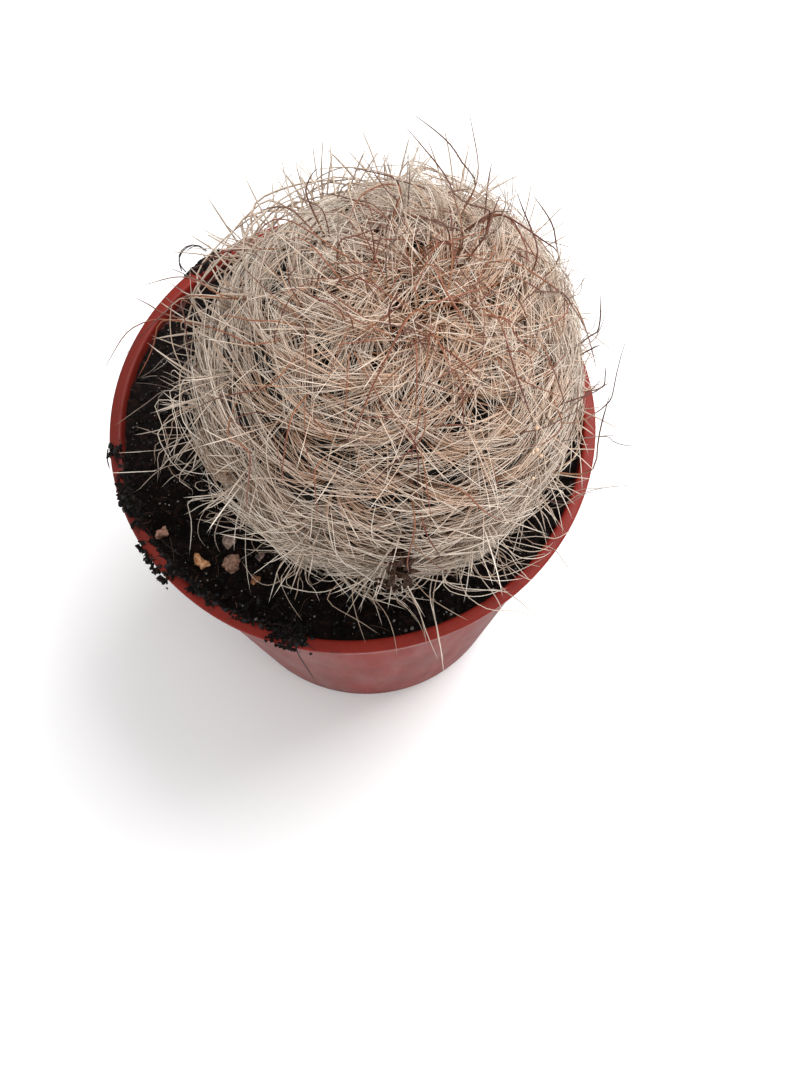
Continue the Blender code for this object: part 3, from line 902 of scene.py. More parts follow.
draw = np.random.default_rng(AREOLE_SEED)
cushions = []
ball_points, ball_faces = large_ball
for row, out, down in areoles():
    side = np.cross(out, down)
    ruffle = ball_points * (1.0 + AREOLE_RUFFLE * draw.normal(size=(len(ball_points), 1)))
    shape = (
        np.outer(ruffle[:, 0], down) * AREOLE_LENGTH / 2
        + np.outer(ruffle[:, 1], side) * AREOLE_WIDTH / 2
        + np.outer(ruffle[:, 2], out) * AREOLE_HEIGHT
    )
    cushions.append((to_world(shape + out * skin_distance(out)), ball_faces))
felt = piece_from("areole_cushions", cushions)
felt_brown = new_finish("areole_felt", Roughness=0.95, Sheen_Weight=0.3)
wool = mottle(felt_brown, (92, 66, 48), (176, 142, 112), 0.0008)
dress(felt, felt_brown, wool, (0.0002, 3.0, 0.0002))
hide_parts("cactus")


# White spines. About sixty soft, hair-like spines grow from each cushion. Most are combed sideways
# and interlace in a loose coat, tan at the roots. It is low at the right, and thin and grey at the
# back left under a veil of long hairs. Fans of hairs hang over the compost and the rim. Light is
# painted into their tones: hairs lying low in the coat are painted darker for shade and warmer for
# light scattered deep in the coat, the veil is painted darker for shade, and the crown's hairs are
# painted lighter and more even.
SPINE_SIDES = 3
SPINE_BENDS = 6
HAIR_SEED = 77
HAIR_RADIUS = (0.000046, 0.000092)
FULLNESS_AT_APEX = 0.575
FULLNESS_DOWNWARD = 0.48
FULLNESS_VARIES = (0.82, 1.15)
COMBED_COUNT = (27, 36)
COMBED_LENGTH = (0.0105, 0.0185)
COMBED_LIFT = (0.0024, 0.0051)
COMBED_TIP_RISE = (-0.0008, 0.0008)
WILD_ROWS = (5, 10)
WILD_THINNING = 0.30
WILD_TIP_RISE = 0.0020
WILD_CURL = 0.45
WILD_RADIUS = 0.55
WILD_LOOSE = 0.18
WILD_STANDING = 4
COMBED_STRAY = 0.24
COMBED_SPREAD = 0.15
WILD_SPREAD = 0.10
COMBED_CURL = 0.35
COMBED_CURL_SPREAD = 0.25
CROSSING_COUNT = 12
CROSSING_LENGTH = (0.0075, 0.0140)
CROSSING_LIFT = (0.0027, 0.0055)
CROSSING_TIP_RISE = (-0.0008, 0.0018)
CROSSING_CURL = 0.8
LOOSE_SHARE = 0.12
LOOSE_RISE = (0.0020, 0.0055)
STANDING_COUNT = 5
STANDING_TRAVEL = (0.0025, 0.0080)
STANDING_LIFT = (0.0030, 0.0058)
STANDING_TIP_RISE = (0.0015, 0.0080)
STANDING_CURL = 0.25
STANDING_MORE = 0.0045
STANDING_LOW_ROWS = (12, 17)
STANDING_LOW_SHARE = 0.3
VEIL_ROWS = (3, 13)
VEIL_COUNT = 3
VEIL_LEAST = 0.3
VEIL_STRAY = 0.8
VEIL_LENGTH = (0.0120, 0.0210)
VEIL_LIFT = (0.0032, 0.0066)
VEIL_TIP_RISE = (-0.0030, 0.0006)
VEIL_CURL = 0.6
FAN_ROWS = (10, 15)
FAN_COUNT = (2, 6)
FAN_LENGTH = (0.0085, 0.0165)
FAN_LIFT = (0.0010, 0.0050)
FAN_TIP_RISE = (-0.0015, 0.0060)
FAN_SPREAD = 0.75
FAN_CURL = 1.7
WARM_MIDDLE = (0.0, -0.34, 0.94)
WARM_REACH = 0.40
WARM_PATCH = 1.5
# Painted light and shade in the hairs' tones: warmth and darkening for hairs deep in the coat,
# lightening and evening out at the crown.
DEEP_SCATTERED_WARMTH = 0.45
DEEP_SHADE = 0.6
CROWN_CONTRAST = 0.35
CROWN_PAINTED_LIGHT = 0.16
THIN_SIDE = (-0.42, 0.85, 0.32)
THIN_COAT = 0.82
RIGHT_SIDE = (0.88, -0.46, 0.08)
RIGHT_COAT = 0.26
RIGHT_NARROW = 3
SPARSE_SIDE = (-0.31, -0.15, 0.0)
VEIL_BENDS = 11
# How dark the veil hairs are painted, for shade.
VEIL_SHADE = 0.4
BACK_GIRTH = 0.9
BACK_GREY = 1.0
APEX_ROWS = 3
APEX_CROSSING = 2.2
ROOT_SINK = 0.0006
ROOT_SPREAD = 0.0008
LIFT_PART = 0.30
SPINE_WRAP = 0.93
DROOP = 0.0035
SPINE_GROUND_GAP = 0.00025
TIP_PART = 0.24
DROOP_BELOW = 0.104
DROOP_SPAN = 0.02
SPINE_THINNING = 0.2
LEAST_TIP = 0.0005
WARMTH_VARIES = (0.0, 0.45)
CROWN_ROWS_END = 7
FLANK_ROWS_END = 12
WALL_LIP = 0.003
HANG_SLOPE = 1.6


def blank_spine(name, sides, bends):
    """Straight spine of unit length and radius along +Z, with rings where it can bend."""
    bpy.ops.mesh.primitive_cone_add(
        vertices=sides, radius1=1.0, radius2=0.0, depth=1.0, location=(0.0, 0.0, 0.5)
    )
    blank = start(name)
    for bend in range(1, bends + 1):
        ring_at(bend / (bends + 1))
    leave()
    return blank_of(blank)


def unit(vectors):
    return vectors / np.maximum(np.linalg.norm(vectors, axis=-1, keepdims=True), 1e-12)


def lay_spines(points, routes, radii, tip_part):
    """Copies of a blank along many routes at once: points of every copy, and each point's part."""
    last = routes.shape[1] - 1
    ring = np.rint(points[:, 2] * last).astype(int)
    part = ring / last
    along = unit(np.gradient(routes, axis=1))
    out = unit(routes - np.array(plant_frame.translation))
    side = unit(np.cross(along, out))
    lift = np.cross(side, along)
    round_x, round_y = (points[:, axis] / np.maximum(1.0 - part, 1e-6) for axis in (0, 1))
    taper = np.sqrt(np.clip((1.0 - part) / tip_part, 0.0, 1.0)) * (1.0 - SPINE_THINNING * part)
    width = radii[:, None] * taper[None, :]
    laid = routes[:, ring]
    laid = laid + side[:, ring] * (round_x * width)[..., None]
    laid = laid - lift[:, ring] * (round_y * width)[..., None]
    return laid, part


def over_the_ground(routes, radii):
    """Lifts the points of routes that would lie in the compost or the rim, or pass too near it."""
    for route, radius in zip(routes, radii):
        for place in route[1:]:
            reach = math.hypot(place[0], place[1])
            if reach < RIM_RADIUS:
                near_wall = (reach - (rim_inside - WALL_LIP)) / WALL_LIP
                lip = soil_top + (POT_TOP - soil_top) * min(1.0, near_wall)
                floor = max(ground_height(place[0], place[1]), lip)
            else:
                floor = POT_TOP - HANG_SLOPE * (reach - RIM_RADIUS)
            place[2] = max(place[2], floor + radius + SPINE_GROUND_GAP)


def spine_routes(roots, headings, lengths, lifts, tips, curls, steps, lift_part=LIFT_PART):
    """Routes that leave the skin, rise, and curve round the body, as points in its own frame."""
    direction = unit(roots)
    heading = unit(headings - direction * np.sum(headings * direction, axis=1, keepdims=True))
    pace = (SPINE_WRAP * lengths / BODY_RADIUS / steps)[:, None]
    waves = math.pi / 2 * (np.arange(len(curls)) % 3)
    points = [direction * (skin_distance(direction) - ROOT_SINK)[:, None]]
    for step in range(1, steps + 1):
        part = step / steps
        ahead = direction * np.cos(pace) + heading * np.sin(pace)
        heading = heading * np.cos(pace) - direction * np.sin(pace)
        direction = unit(ahead)
        swerve = (curls * np.cos(waves * part) / steps)[:, None]
        heading = unit(heading * np.cos(swerve) + np.cross(direction, heading) * np.sin(swerve))
        rise = min(1.0, part / lift_part)
        rise = rise * (2.0 - rise)
        height = lifts * rise + (tips - lifts) * max(0.0, part - lift_part) / (1.0 - lift_part)
        points.append(direction * (skin_distance(direction) + height)[:, None])
    return np.stack(points, axis=1)


def routes_of(spines, bends, lift_part=LIFT_PART):
    """Routes in the frame of the part, with the radii and tones, of spines noted one by one."""
    *shapes, radii, tones = (np.array(values) for values in zip(*spines))
    return to_world(spine_routes(*shapes, bends + 1, lift_part)), radii, tones


def spines_piece(name, blank, routes, radii, tip_part, tones):
    """One object of many spines, with each point's part of the length and each spine's tones."""
    points, faces = blank
    laid, part = lay_spines(points, routes, radii, tip_part)
    piece = piece_from(name, [(copy, faces) for copy in laid])
    growth = piece.data.color_attributes.new("growth", "FLOAT_COLOR", "POINT")
    values = np.ones((len(laid), len(part), 4), dtype=np.float32)
    values[..., 0] = part[None, :]
    values[..., 1] = tones[:, None, 0]
    values[..., 2] = tones[:, None, 1]
    growth.data.foreach_set("color", values.ravel())
    return piece


def plant_spines(name, blank, routes, radii, tip_part, tones, material):
    """A dressed piece of the plant's spines, kept clear of the compost and the rim."""
    over_the_ground(routes, radii)
    piece = spines_piece(name, blank, routes, radii, tip_part, tones)
    dress(piece, material)
    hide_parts("cactus")


def growth_of(material):
    """The part of the length and the two tones that spines_piece gave every point."""
    growth = add_node(material, "Attribute", {}, attribute_name="growth").outputs["Color"]
    parts = add_node(material, "SeparateColor", {"Color": growth}).outputs
    return parts["Red"], parts["Green"], parts["Blue"]


hair_blank = blank_spine("hair_blank", SPINE_SIDES, SPINE_BENDS)
veil_blank = blank_spine("veil_blank", SPINE_SIDES, VEIL_BENDS)
draw = np.random.default_rng(HAIR_SEED)
hair_sets = {"crown_spines": [], "flank_spines": [], "foot_spines": [], "veil_spines": []}


def wildness(row):
    """How unruly the hairs of a row are: 0 at the crown, 1 from the flanks down."""
    return clamp((row - WILD_ROWS[0]) / (WILD_ROWS[1] - WILD_ROWS[0]))


def thinness(out):
    """How thin the coat is that way at the back left, as a part of its full height."""
    return THIN_COAT * max(0.0, out @ np.array(THIN_SIDE))


def coat_at(out):
    """How high the coat is that way, as a part of its full height: it is also low at the right."""
    right = max(0.0, out @ np.array(RIGHT_SIDE)) ** RIGHT_NARROW
    return 1.0 - thinness(out) - RIGHT_COAT * right


def heading_at(out, down, turn):
    """A direction along the skin, by its turn from the way down the rib."""
    return down * math.cos(turn) + np.cross(out, down) * math.sin(turn)


def set_of(row):
    """The piece that the spines of a row belong to."""
    if row < CROWN_ROWS_END:
        return "crown_spines"
    return "flank_spines" if row < FLANK_ROWS_END else "foot_spines"


def grow(row, out, down, turn, length, lift, tip, curl, warmth, coat=1.0, veil=False, girth=1.0):
    """Notes one spine that leaves a cushion with a heading measured from the way down its rib."""
    heading = heading_at(out, down, turn)
    root = out * skin_distance(out) + heading * draw.uniform(0.0, ROOT_SPREAD)
    radius = girth * draw.uniform(*HAIR_RADIUS) * (1.0 + WILD_RADIUS * wildness(row))
    # Painted shade and light in the tones: a hair lying low in the coat is painted darker for shade
    # and warmer for light scattered deep in the coat; a veil hair is painted darker for shade; the
    # crown's hairs are painted lighter and more even.
    depth = clamp((COMBED_LIFT[1] - min(lift, tip)) / (COMBED_LIFT[1] - COMBED_LIFT[0]))
    lightness = (1.0 - DEEP_SHADE) * draw.uniform(0.0, 1.0) + DEEP_SHADE * (1.0 - depth)
    contrast = CROWN_CONTRAST + (1.0 - CROWN_CONTRAST) * wildness(row)
    middle = 0.5 + CROWN_PAINTED_LIGHT * (1.0 - wildness(row))
    lightness = lightness * VEIL_SHADE if veil else middle + contrast * (lightness - 0.5)
    scattered_warmth = DEEP_SCATTERED_WARMTH * depth * (1.0 - BACK_GREY * thinness(out))
    tone = (lightness, min(1.0, warmth + scattered_warmth))
    tip = coat * max(tip, LEAST_TIP)
    spines = hair_sets["veil_spines" if veil else set_of(row)]
    spines.append((root, heading, length, coat * lift, tip, curl, radius, tone))


for row, out, down in areoles():
    fullness = FULLNESS_AT_APEX + FULLNESS_DOWNWARD * math.sin(ROW_ANGLE * row) ** 0.5
    fullness = fullness * draw.uniform(*FULLNESS_VARIES)
    wild = wildness(row)
    sparseness = max(0.0, out @ np.array(SPARSE_SIDE))
    fullness = fullness * (1.0 - WILD_THINNING * wild) * (1.0 - sparseness)
    coat = coat_at(out)
    thin = thinness(out)
    girth = 1.0 + BACK_GIRTH * thin
    nearness = max(0.0, 1.0 - (1.0 - out @ np.array(WARM_MIDDLE)) / WARM_REACH)
    warmth = min(1.0, draw.uniform(*WARMTH_VARIES) + WARM_PATCH * nearness)
    warmth = warmth * (1.0 - BACK_GREY * thin)
    crossing = CROSSING_COUNT * (APEX_CROSSING if row <= APEX_ROWS else 1.0)
    for side in (-1.0, 1.0):
        bundle_turn = side * math.pi / 2 + draw.normal(0.0, COMBED_STRAY)
        bundle_curl = draw.normal(0.0, COMBED_CURL)
        for _ in range(round(fullness * draw.integers(*COMBED_COUNT))):
            lift = draw.uniform(*COMBED_LIFT)
            tip = lift + draw.uniform(*COMBED_TIP_RISE) + wild * draw.uniform(0.0, WILD_TIP_RISE)
            turn = bundle_turn + draw.normal(0.0, COMBED_SPREAD + WILD_SPREAD * wild)
            curl = bundle_curl + draw.normal(0.0, COMBED_CURL_SPREAD + WILD_CURL * wild)
            grow(row, out, down, turn, draw.uniform(*COMBED_LENGTH), lift, tip, curl, warmth, coat)
    for _ in range(round(fullness * crossing)):
        lift = draw.uniform(*CROSSING_LIFT)
        loose = draw.random() < LOOSE_SHARE + WILD_LOOSE * wild
        rise = LOOSE_RISE if loose else CROSSING_TIP_RISE
        tip = lift + draw.uniform(*rise)
        turn = draw.uniform(0.0, math.tau)
        curl = draw.normal(0.0, CROSSING_CURL)
        grow(row, out, down, turn, draw.uniform(*CROSSING_LENGTH), lift, tip, curl, warmth, coat)
    lowness = np.interp(row, STANDING_LOW_ROWS, (0.0, 1.0))
    fewer = 1.0 - (1.0 - STANDING_LOW_SHARE) * lowness
    for _ in range(round(fullness * ((STANDING_COUNT + WILD_STANDING * wild) * fewer))):
        lift = coat * draw.uniform(*STANDING_LIFT)
        tip = lift + draw.uniform(*STANDING_TIP_RISE) + thin * STANDING_MORE
        turn = draw.uniform(0.0, math.tau)
        curl = draw.normal(0.0, STANDING_CURL)
        travel = draw.uniform(*STANDING_TRAVEL)
        grow(row, out, down, turn, travel, lift, tip, curl, warmth, girth=girth)
    if VEIL_ROWS[0] <= row <= VEIL_ROWS[1]:
        for _ in range(round(VEIL_COUNT * (VEIL_LEAST + thin))):
            lift = draw.uniform(*VEIL_LIFT)
            tip = lift + draw.uniform(*VEIL_TIP_RISE)
            turn = draw.choice((-1.0, 1.0)) * math.pi / 2 + draw.normal(0.0, VEIL_STRAY)
            curl = draw.normal(0.0, VEIL_CURL)
            length = draw.uniform(*VEIL_LENGTH)
            grow(row, out, down, turn, length, lift, tip, curl, warmth, veil=True, girth=girth)
    if FAN_ROWS[0] <= row <= FAN_ROWS[1]:
        for _ in range(draw.integers(*FAN_COUNT)):
            lift = draw.uniform(*FAN_LIFT)
            tip = lift + draw.uniform(*FAN_TIP_RISE)
            turn = draw.normal(0.0, FAN_SPREAD)
            curl = draw.normal(0.0, FAN_CURL)
            grow(row, out, down, turn, draw.uniform(*FAN_LENGTH), lift, tip, curl, warmth)

cream = new_finish("cream_spines", Roughness=0.5, Specular_IOR_Level=0.4)
along, tone, warmth = growth_of(cream)
# The tone carries painted shade for low-lying and veil hairs and painted light at the crown; the
# warmth carries the hairs' own tan and painted warm light deep in the coat.
pale = blend(cream, tone, paint(162, 142, 124), paint(248, 238, 224))
from_root = band(cream, along, 0.05, 0.85, 0.85, 0.10)
tan_part = combine(cream, "MULTIPLY", from_root, band(cream, warmth, 0.1, 0.9, 0.25, 1.0))
connect(cream, "Base Color", blend(cream, tan_part, pale, paint(186, 131, 86)))

for name, spines in hair_sets.items():
    veil = name == "veil_spines"
    blank, bends = (veil_blank, VEIL_BENDS) if veil else (hair_blank, SPINE_BENDS)
    routes, radii, tones = routes_of(spines, bends)
    hang = np.linspace(0.0, 1.0, bends + 2)[None, :] ** 2
    low = np.clip((DROOP_BELOW - routes[:, :1, 2]) / DROOP_SPAN, 0.0, 1.0)
    routes[..., 2] -= DROOP * hang * low
    plant_spines(name, blank, routes, radii, TIP_PART, tones, cream)


# Loose strands. The longest hairs are laid along the lines they have in the picture, each from
# the cushion that it points back to. Ones painted grey for the shade on their side that faces the
# view, and three tufts, fly out of the coat; cream ones stand off it like a net at the left, or
# curl and hang over the compost and the rim.
STRAND_BENDS = 15
FLYING_RADIUS = (0.000060, 0.000100)
FALLEN_RADIUS = (0.000080, 0.000120)
TUFT_RADIUS = (0.000030, 0.000055)
TUFT_SPREAD = 7.0
TUFTS = (((440, 197), (403, 151), 26), ((497, 205), (474, 173), 12), ((566, 292), (553, 250), 16))
STRAND_SEED = 5
TUFT_FOOT_SPREAD = 0.6
TUFT_HEIGHTS = (7, 9, 12)
STRAND_TONES = (1.0, 0.6)
CURVE_PARTS = 12
STRAND_TIP_PART = 0.18
ROOT_REACH = 0.004
ROUNDING = 20
FLYING = (
    ((385, 260, 7), (393, 242, 8), (401, 221, 10), (405, 201, 12), (409, 150, 13)),
    ((338, 229, 7), (339, 221, 7), (339, 212, 8), (335, 205, 8), (332, 209, 9), (332, 216, 9)),
    ((567, 277, 7), (572, 271, 8), (577, 266, 9)),
    ((579, 294, 7), (581, 284, 8), (585, 275, 10)),
    ((535, 231, 7), (553, 220, 9), (570, 210, 11)),
    ((505, 207, 8), (504, 192, 10), (503, 177, 11)),
    ((510, 206, 8), (512, 189, 10), (513, 172, 11)),
    ((473, 177, 9), (473, 166, 10), (471, 158, 11)),
    ((419, 164, 9), (413, 146, 10), (410, 135, 12)),
    ((410, 172, 9), (408, 161, 10), (406, 150, 11)),
    ((588, 344, 7), (596, 336, 8), (603, 323, 10), (607, 307, 11)),
    ((591, 331, 7), (595, 322, 8), (597, 315, 9)),
    ((601, 436, 9), (614, 436, 10), (630, 437, 11)),
    ((602, 436, 9), (612, 442, 10), (627, 446, 11), (645, 446, 12)),
    ((203, 309, 7), (191, 297, 8), (178, 288, 8), (164, 279, 9), (153, 275, 10)),
    ((198, 280, 8), (180, 272, 9), (169, 268, 10)),
    ((171, 302, 8), (165, 295, 9), (160, 290, 10)),
    ((171, 353, 7), (152, 371, 8), (137, 379, 8)),
    ((177, 359, 7), (164, 365, 8), (151, 373, 8)),
    ((170, 380, 7), (164, 376, 7), (149, 376, 8), (139, 379, 8)),
    ((168, 388, 7), (157, 385, 7), (146, 383, 8), (133, 383, 8)),
    ((169, 389, 7), (154, 398, 8), (134, 412, 8), (113, 427, 9)),
    ((180, 389, 7), (164, 391, 7), (156, 398, 7), (156, 407, 7), (164, 430, 7)),
    ((556, 488, 7), (572, 484, 8), (590, 478, 8)),
    ((551, 510, 7), (578, 494, 8), (595, 490, 9), (606, 487, 10), (623, 486, 11), (643, 484, 12)),
    ((560, 505, 7), (583, 494, 8), (590, 492, 8), (601, 492, 9)),
    ((560, 498, 7), (579, 489, 7), (595, 489, 8), (606, 487, 8), (611, 483, 9), (604, 480, 9)),
    ((460, 571, 6), (445, 574, 7), (430, 575, 8), (409, 575, 8), (392, 571, 8)),
)
NET = (
    ((177, 298, 9), (171, 312, 9), (170, 330, 9), (174, 352, 9), (181, 366, 8), (190, 380, 8)),
    ((171, 387, 9), (173, 402, 9), (176, 418, 9), (181, 433, 8), (188, 445, 8)),
    ((191, 381, 8), (183, 379, 8), (179, 396, 8), (181, 418, 8), (190, 432, 8), (204, 442, 8)),
    ((171, 396, 9), (174, 413, 9), (178, 427, 9), (177, 442, 9), (168, 456, 8), (162, 468, 7)),
    ((164, 418, 9), (167, 433, 9), (167, 448, 9), (162, 464, 8), (159, 477, 7)),
    ((157, 399, 9), (155, 407, 9), (161, 421, 9), (164, 435, 9), (167, 447, 8), (173, 461, 8)),
    ((173, 415, 9), (173, 427, 9), (168, 441, 9), (165, 456, 8), (164, 471, 7)),
    ((171, 462, 7), (188, 471, 7), (204, 474, 8), (217, 473, 8)),
    ((185, 378, 8), (177, 370, 9), (170, 372, 9), (172, 378, 9)),
)
FALLEN = (
    (
        (526, 540, 5), (544, 545, 4), (557, 549, 3), (560, 556, 2), (564, 563, 1), (572, 572, 0),
        (581, 580, -1),
    ),
    ((518, 574, 3), (527, 579, 2), (532, 580, 2), (541, 584, 1), (553, 585, 0)),
    ((504, 590, 3), (513, 596, 2), (518, 599, 1), (529, 610, 0), (539, 619, -1)),
    (
        (462, 590, 5), (472, 600, 4), (485, 609, 3), (497, 612, 2), (510, 609, 1), (528, 614, 1),
        (544, 618, 0), (556, 620, -1),
    ),
    ((442, 578, 7), (459, 590, 5), (480, 591, 4), (494, 589, 3), (504, 591, 2), (513, 596, 1)),
    ((442, 583, 7), (454, 593, 6), (472, 597, 5), (484, 596, 4), (497, 592, 3), (509, 587, 2)),
    ((482, 579, 6), (493, 592, 4), (501, 607, 2), (504, 616, 0)),
    ((508, 538, 8), (516, 548, 7), (529, 552, 6), (544, 550, 4), (555, 541, 3)),
    ((503, 545, 8), (514, 556, 7), (528, 559, 6), (544, 557, 4), (553, 550, 3)),
    ((510, 541, 8), (526, 545, 6), (542, 549, 5), (553, 551, 3)),
    ((508, 537, 8), (521, 538, 6), (537, 536, 5), (553, 539, 3)),
    ((497, 565, 7), (514, 560, 4), (549, 553, 2)),
    ((480, 577, 7), (503, 568, 5), (528, 559, 3)),
    ((508, 553, 7), (514, 563, 5), (526, 576, 3), (529, 580, 1)),
    ((503, 553, 7), (506, 566, 4), (519, 581, 1)),
    ((503, 557, 7), (518, 563, 5), (533, 565, 3), (541, 567, 1)),
    ((537, 519, 7), (541, 526, 5), (545, 536, 4), (547, 548, 2)),
    ((544, 514, 7), (548, 521, 4), (557, 540, 2)),
    ((549, 507, 7), (553, 515, 4), (566, 533, 2)),
    ((540, 533, 6), (549, 537, 5), (556, 540, 4), (566, 533, 3), (582, 525, 2)),
    ((497, 548, 7), (498, 556, 6), (497, 566, 4)),
    ((491, 551, 7), (495, 565, 6), (493, 576, 4)),
    ((496, 553, 7), (504, 572, 4), (508, 582, 1)),
    (
        (363, 570, 8), (346, 579, 7), (331, 589, 6), (325, 598, 5), (327, 603, 4), (339, 610, 3),
        (361, 622, 2), (380, 635, 1),
    ),
    ((356, 582, 8), (352, 595, 6), (354, 606, 4), (358, 622, 3), (366, 644, 1)),
    ((358, 578, 8), (375, 600, 6), (386, 613, 5), (392, 628, 3), (396, 644, 2), (397, 656, 0)),
    ((363, 584, 7), (373, 599, 5), (380, 618, 3), (382, 626, 1)),
    ((278, 567, 8), (281, 583, 5), (288, 600, 3), (303, 622, 0)),
    ((278, 582, 6), (288, 587, 6), (308, 592, 6), (322, 593, 5), (337, 588, 5), (350, 579, 5)),
    ((298, 572, 7), (288, 576, 6), (283, 581, 6), (293, 589, 5), (308, 592, 4)),
    ((281, 565, 8), (276, 578, 4), (268, 605, -1)),
    ((299, 578, 7), (298, 589, 4), (294, 602, 0)),
    ((299, 571, 7), (303, 582, 4), (302, 595, 1)),
    ((305, 576, 7), (314, 588, 4), (320, 603, 0)),
    ((308, 584, 4), (327, 576, 6), (339, 567, 8)),
    ((295, 571, 7), (283, 578, 6), (272, 586, 4), (263, 585, 3), (253, 578, 1), (241, 560, 0)),
    ((375, 600, 5), (390, 596, 3), (404, 604, 2), (419, 624, 0)),
    ((403, 588, 7), (414, 600, 4), (420, 613, 1)),
    ((430, 587, 6), (435, 618, 3), (439, 642, 1), (444, 661, -1)),
    ((433, 595, 5), (436, 622, 3), (441, 650, 1), (444, 675, -3)),
    ((415, 602, 5), (424, 626, 3), (430, 642, 2), (439, 661, 0)),
    ((409, 590, 6), (420, 612, 4), (425, 634, 2), (427, 647, 1)),
    ((395, 600, 5), (409, 608, 5), (420, 624, 3), (426, 640, 1)),
    ((424, 593, 6), (436, 602, 5), (452, 612, 3), (469, 621, 1)),
    ((441, 573, 8), (456, 587, 6), (485, 590, 4), (511, 592, 2)),
    ((446, 561, 9), (464, 572, 8), (495, 581, 5), (526, 578, 2)),
    ((444, 569, 9), (464, 575, 8), (505, 576, 5), (546, 557, 3)),
    ((373, 600, 5), (366, 590, 2), (362, 602, 0)),
    ((351, 565, 9), (359, 576, 8), (369, 590, 6), (377, 599, 5)),
    ((351, 578, 8), (361, 590, 6), (375, 605, 4), (382, 611, 3)),
    ((347, 584, 8), (364, 596, 6), (379, 601, 5), (396, 606, 4), (407, 610, 3)),
    ((372, 592, 7), (384, 593, 7), (399, 595, 6), (413, 598, 5), (436, 601, 4)),
    ((427, 582, 8), (407, 590, 7), (399, 593, 6), (390, 598, 5)),
    ((380, 592, 7), (390, 597, 6), (402, 601, 5), (411, 610, 3)),
    ((394, 582, 8), (403, 588, 7), (412, 598, 5), (418, 610, 3)),
    ((340, 578, 8), (352, 587, 7), (368, 592, 6), (386, 594, 6), (404, 591, 6)),
    ((418, 583, 8), (404, 592, 7), (388, 594, 6), (372, 590, 6)),
    ((357, 588, 6), (351, 595, 3), (346, 604, 0)),
    ((343, 584, 6), (342, 592, 4), (345, 596, 2)),
    ((168, 458, 7), (164, 469, 6), (158, 471, 5), (135, 472, 3), (118, 473, 2), (102, 473, 1)),
    ((189, 435, 7), (175, 441, 6), (159, 451, 5), (156, 450, 3), (139, 452, 2), (113, 453, 1)),
    ((198, 461, 7), (178, 464, 5), (168, 466, 3), (157, 471, 1), (134, 495, -1)),
    ((193, 471, 7), (175, 475, 4), (160, 489, 0)),
    ((168, 464, 6), (182, 480, 4), (194, 488, 2)),
    (
        (216, 481, 8), (211, 489, 7), (201, 492, 6), (194, 488, 6), (195, 482, 5), (204, 480, 4),
        (214, 484, 3),
    ),
    ((221, 489, 8), (214, 499, 6), (202, 513, 4), (197, 529, 2), (199, 539, 0), (208, 549, -2)),
    (
        (230, 493, 8), (214, 498, 6), (186, 499, 5), (189, 510, 3), (192, 521, 1), (191, 539, 0),
        (189, 557, -2),
    ),
    ((217, 500, 5), (221, 510, 6), (237, 511, 8)),
    ((233, 515, 7), (221, 513, 6), (208, 513, 5), (202, 516, 5), (210, 519, 4), (224, 516, 3)),
    ((238, 518, 7), (233, 522, 4), (214, 521, 2), (193, 519, -1)),
    ((220, 512, 6), (213, 523, 2), (208, 537, -1)),
    ((226, 511, 6), (217, 526, 4), (214, 537, 2), (217, 547, 0), (221, 554, -2)),
    ((256, 533, 7), (244, 528, 4), (230, 530, 2), (210, 536, -1)),
    ((253, 536, 7), (237, 534, 4), (219, 537, 0)),
    ((261, 523, 7), (252, 535, 6), (252, 545, 4), (259, 554, 3), (275, 550, 2)),
    ((267, 541, 6), (256, 550, 2), (237, 561, -2)),
    ((183, 503, 1), (198, 499, 4), (211, 498, 7)),
    ((204, 504, 5), (194, 510, 2), (183, 515, -2)),
    ((178, 476, 5), (185, 484, 4), (193, 489, 2), (194, 493, 0), (191, 498, -1)),
    ((168, 427, 7), (164, 429, 5), (141, 434, 2), (133, 435, 0)),
    ((164, 435, 7), (148, 430, 4), (133, 426, 1)),
    ((159, 441, 8), (156, 458, 6), (154, 465, 3)),
    ((163, 449, 8), (159, 469, 4), (157, 484, 1)),
    ((159, 427, 9), (164, 446, 8), (168, 458, 7), (175, 468, 7), (185, 474, 6), (198, 477, 5)),
    ((173, 450, 8), (180, 459, 7), (187, 466, 7), (196, 469, 6)),
)

plant_middle = np.array(plant_frame.translation)
to_plant = np.array(plant_frame.to_3x3()).T


def on_coat(across, down, millimetres):
    """Where a pixel's line of sight meets the plant a given height over its skin, plant's frame."""
    height = millimetres / 1000
    line = to_plant @ np.array(sight(across, down))
    eye = to_plant @ (np.array(CAMERA_PLACE) - plant_middle)
    wide = BODY_RADIUS + height
    size = np.array((wide, wide, BODY_HALF_HEIGHT + height))
    flat_line = line / size
    flat_eye = eye / size
    square = flat_line @ flat_line
    middle = -(flat_line @ flat_eye) / square
    spare = middle**2 - (flat_eye @ flat_eye - 1.0) / square
    return eye + line * (middle - math.sqrt(max(spare, 0.0)))


def on_level(across, down, millimetres):
    """Where a pixel's line of sight meets a level over the rim's, in the plant's own frame."""
    line = np.array(sight(across, down))
    eye = np.array(CAMERA_PLACE)
    place = eye + line * (POT_TOP + millimetres / 1000 - eye[2]) / line[2]
    return to_plant @ (place - plant_middle)


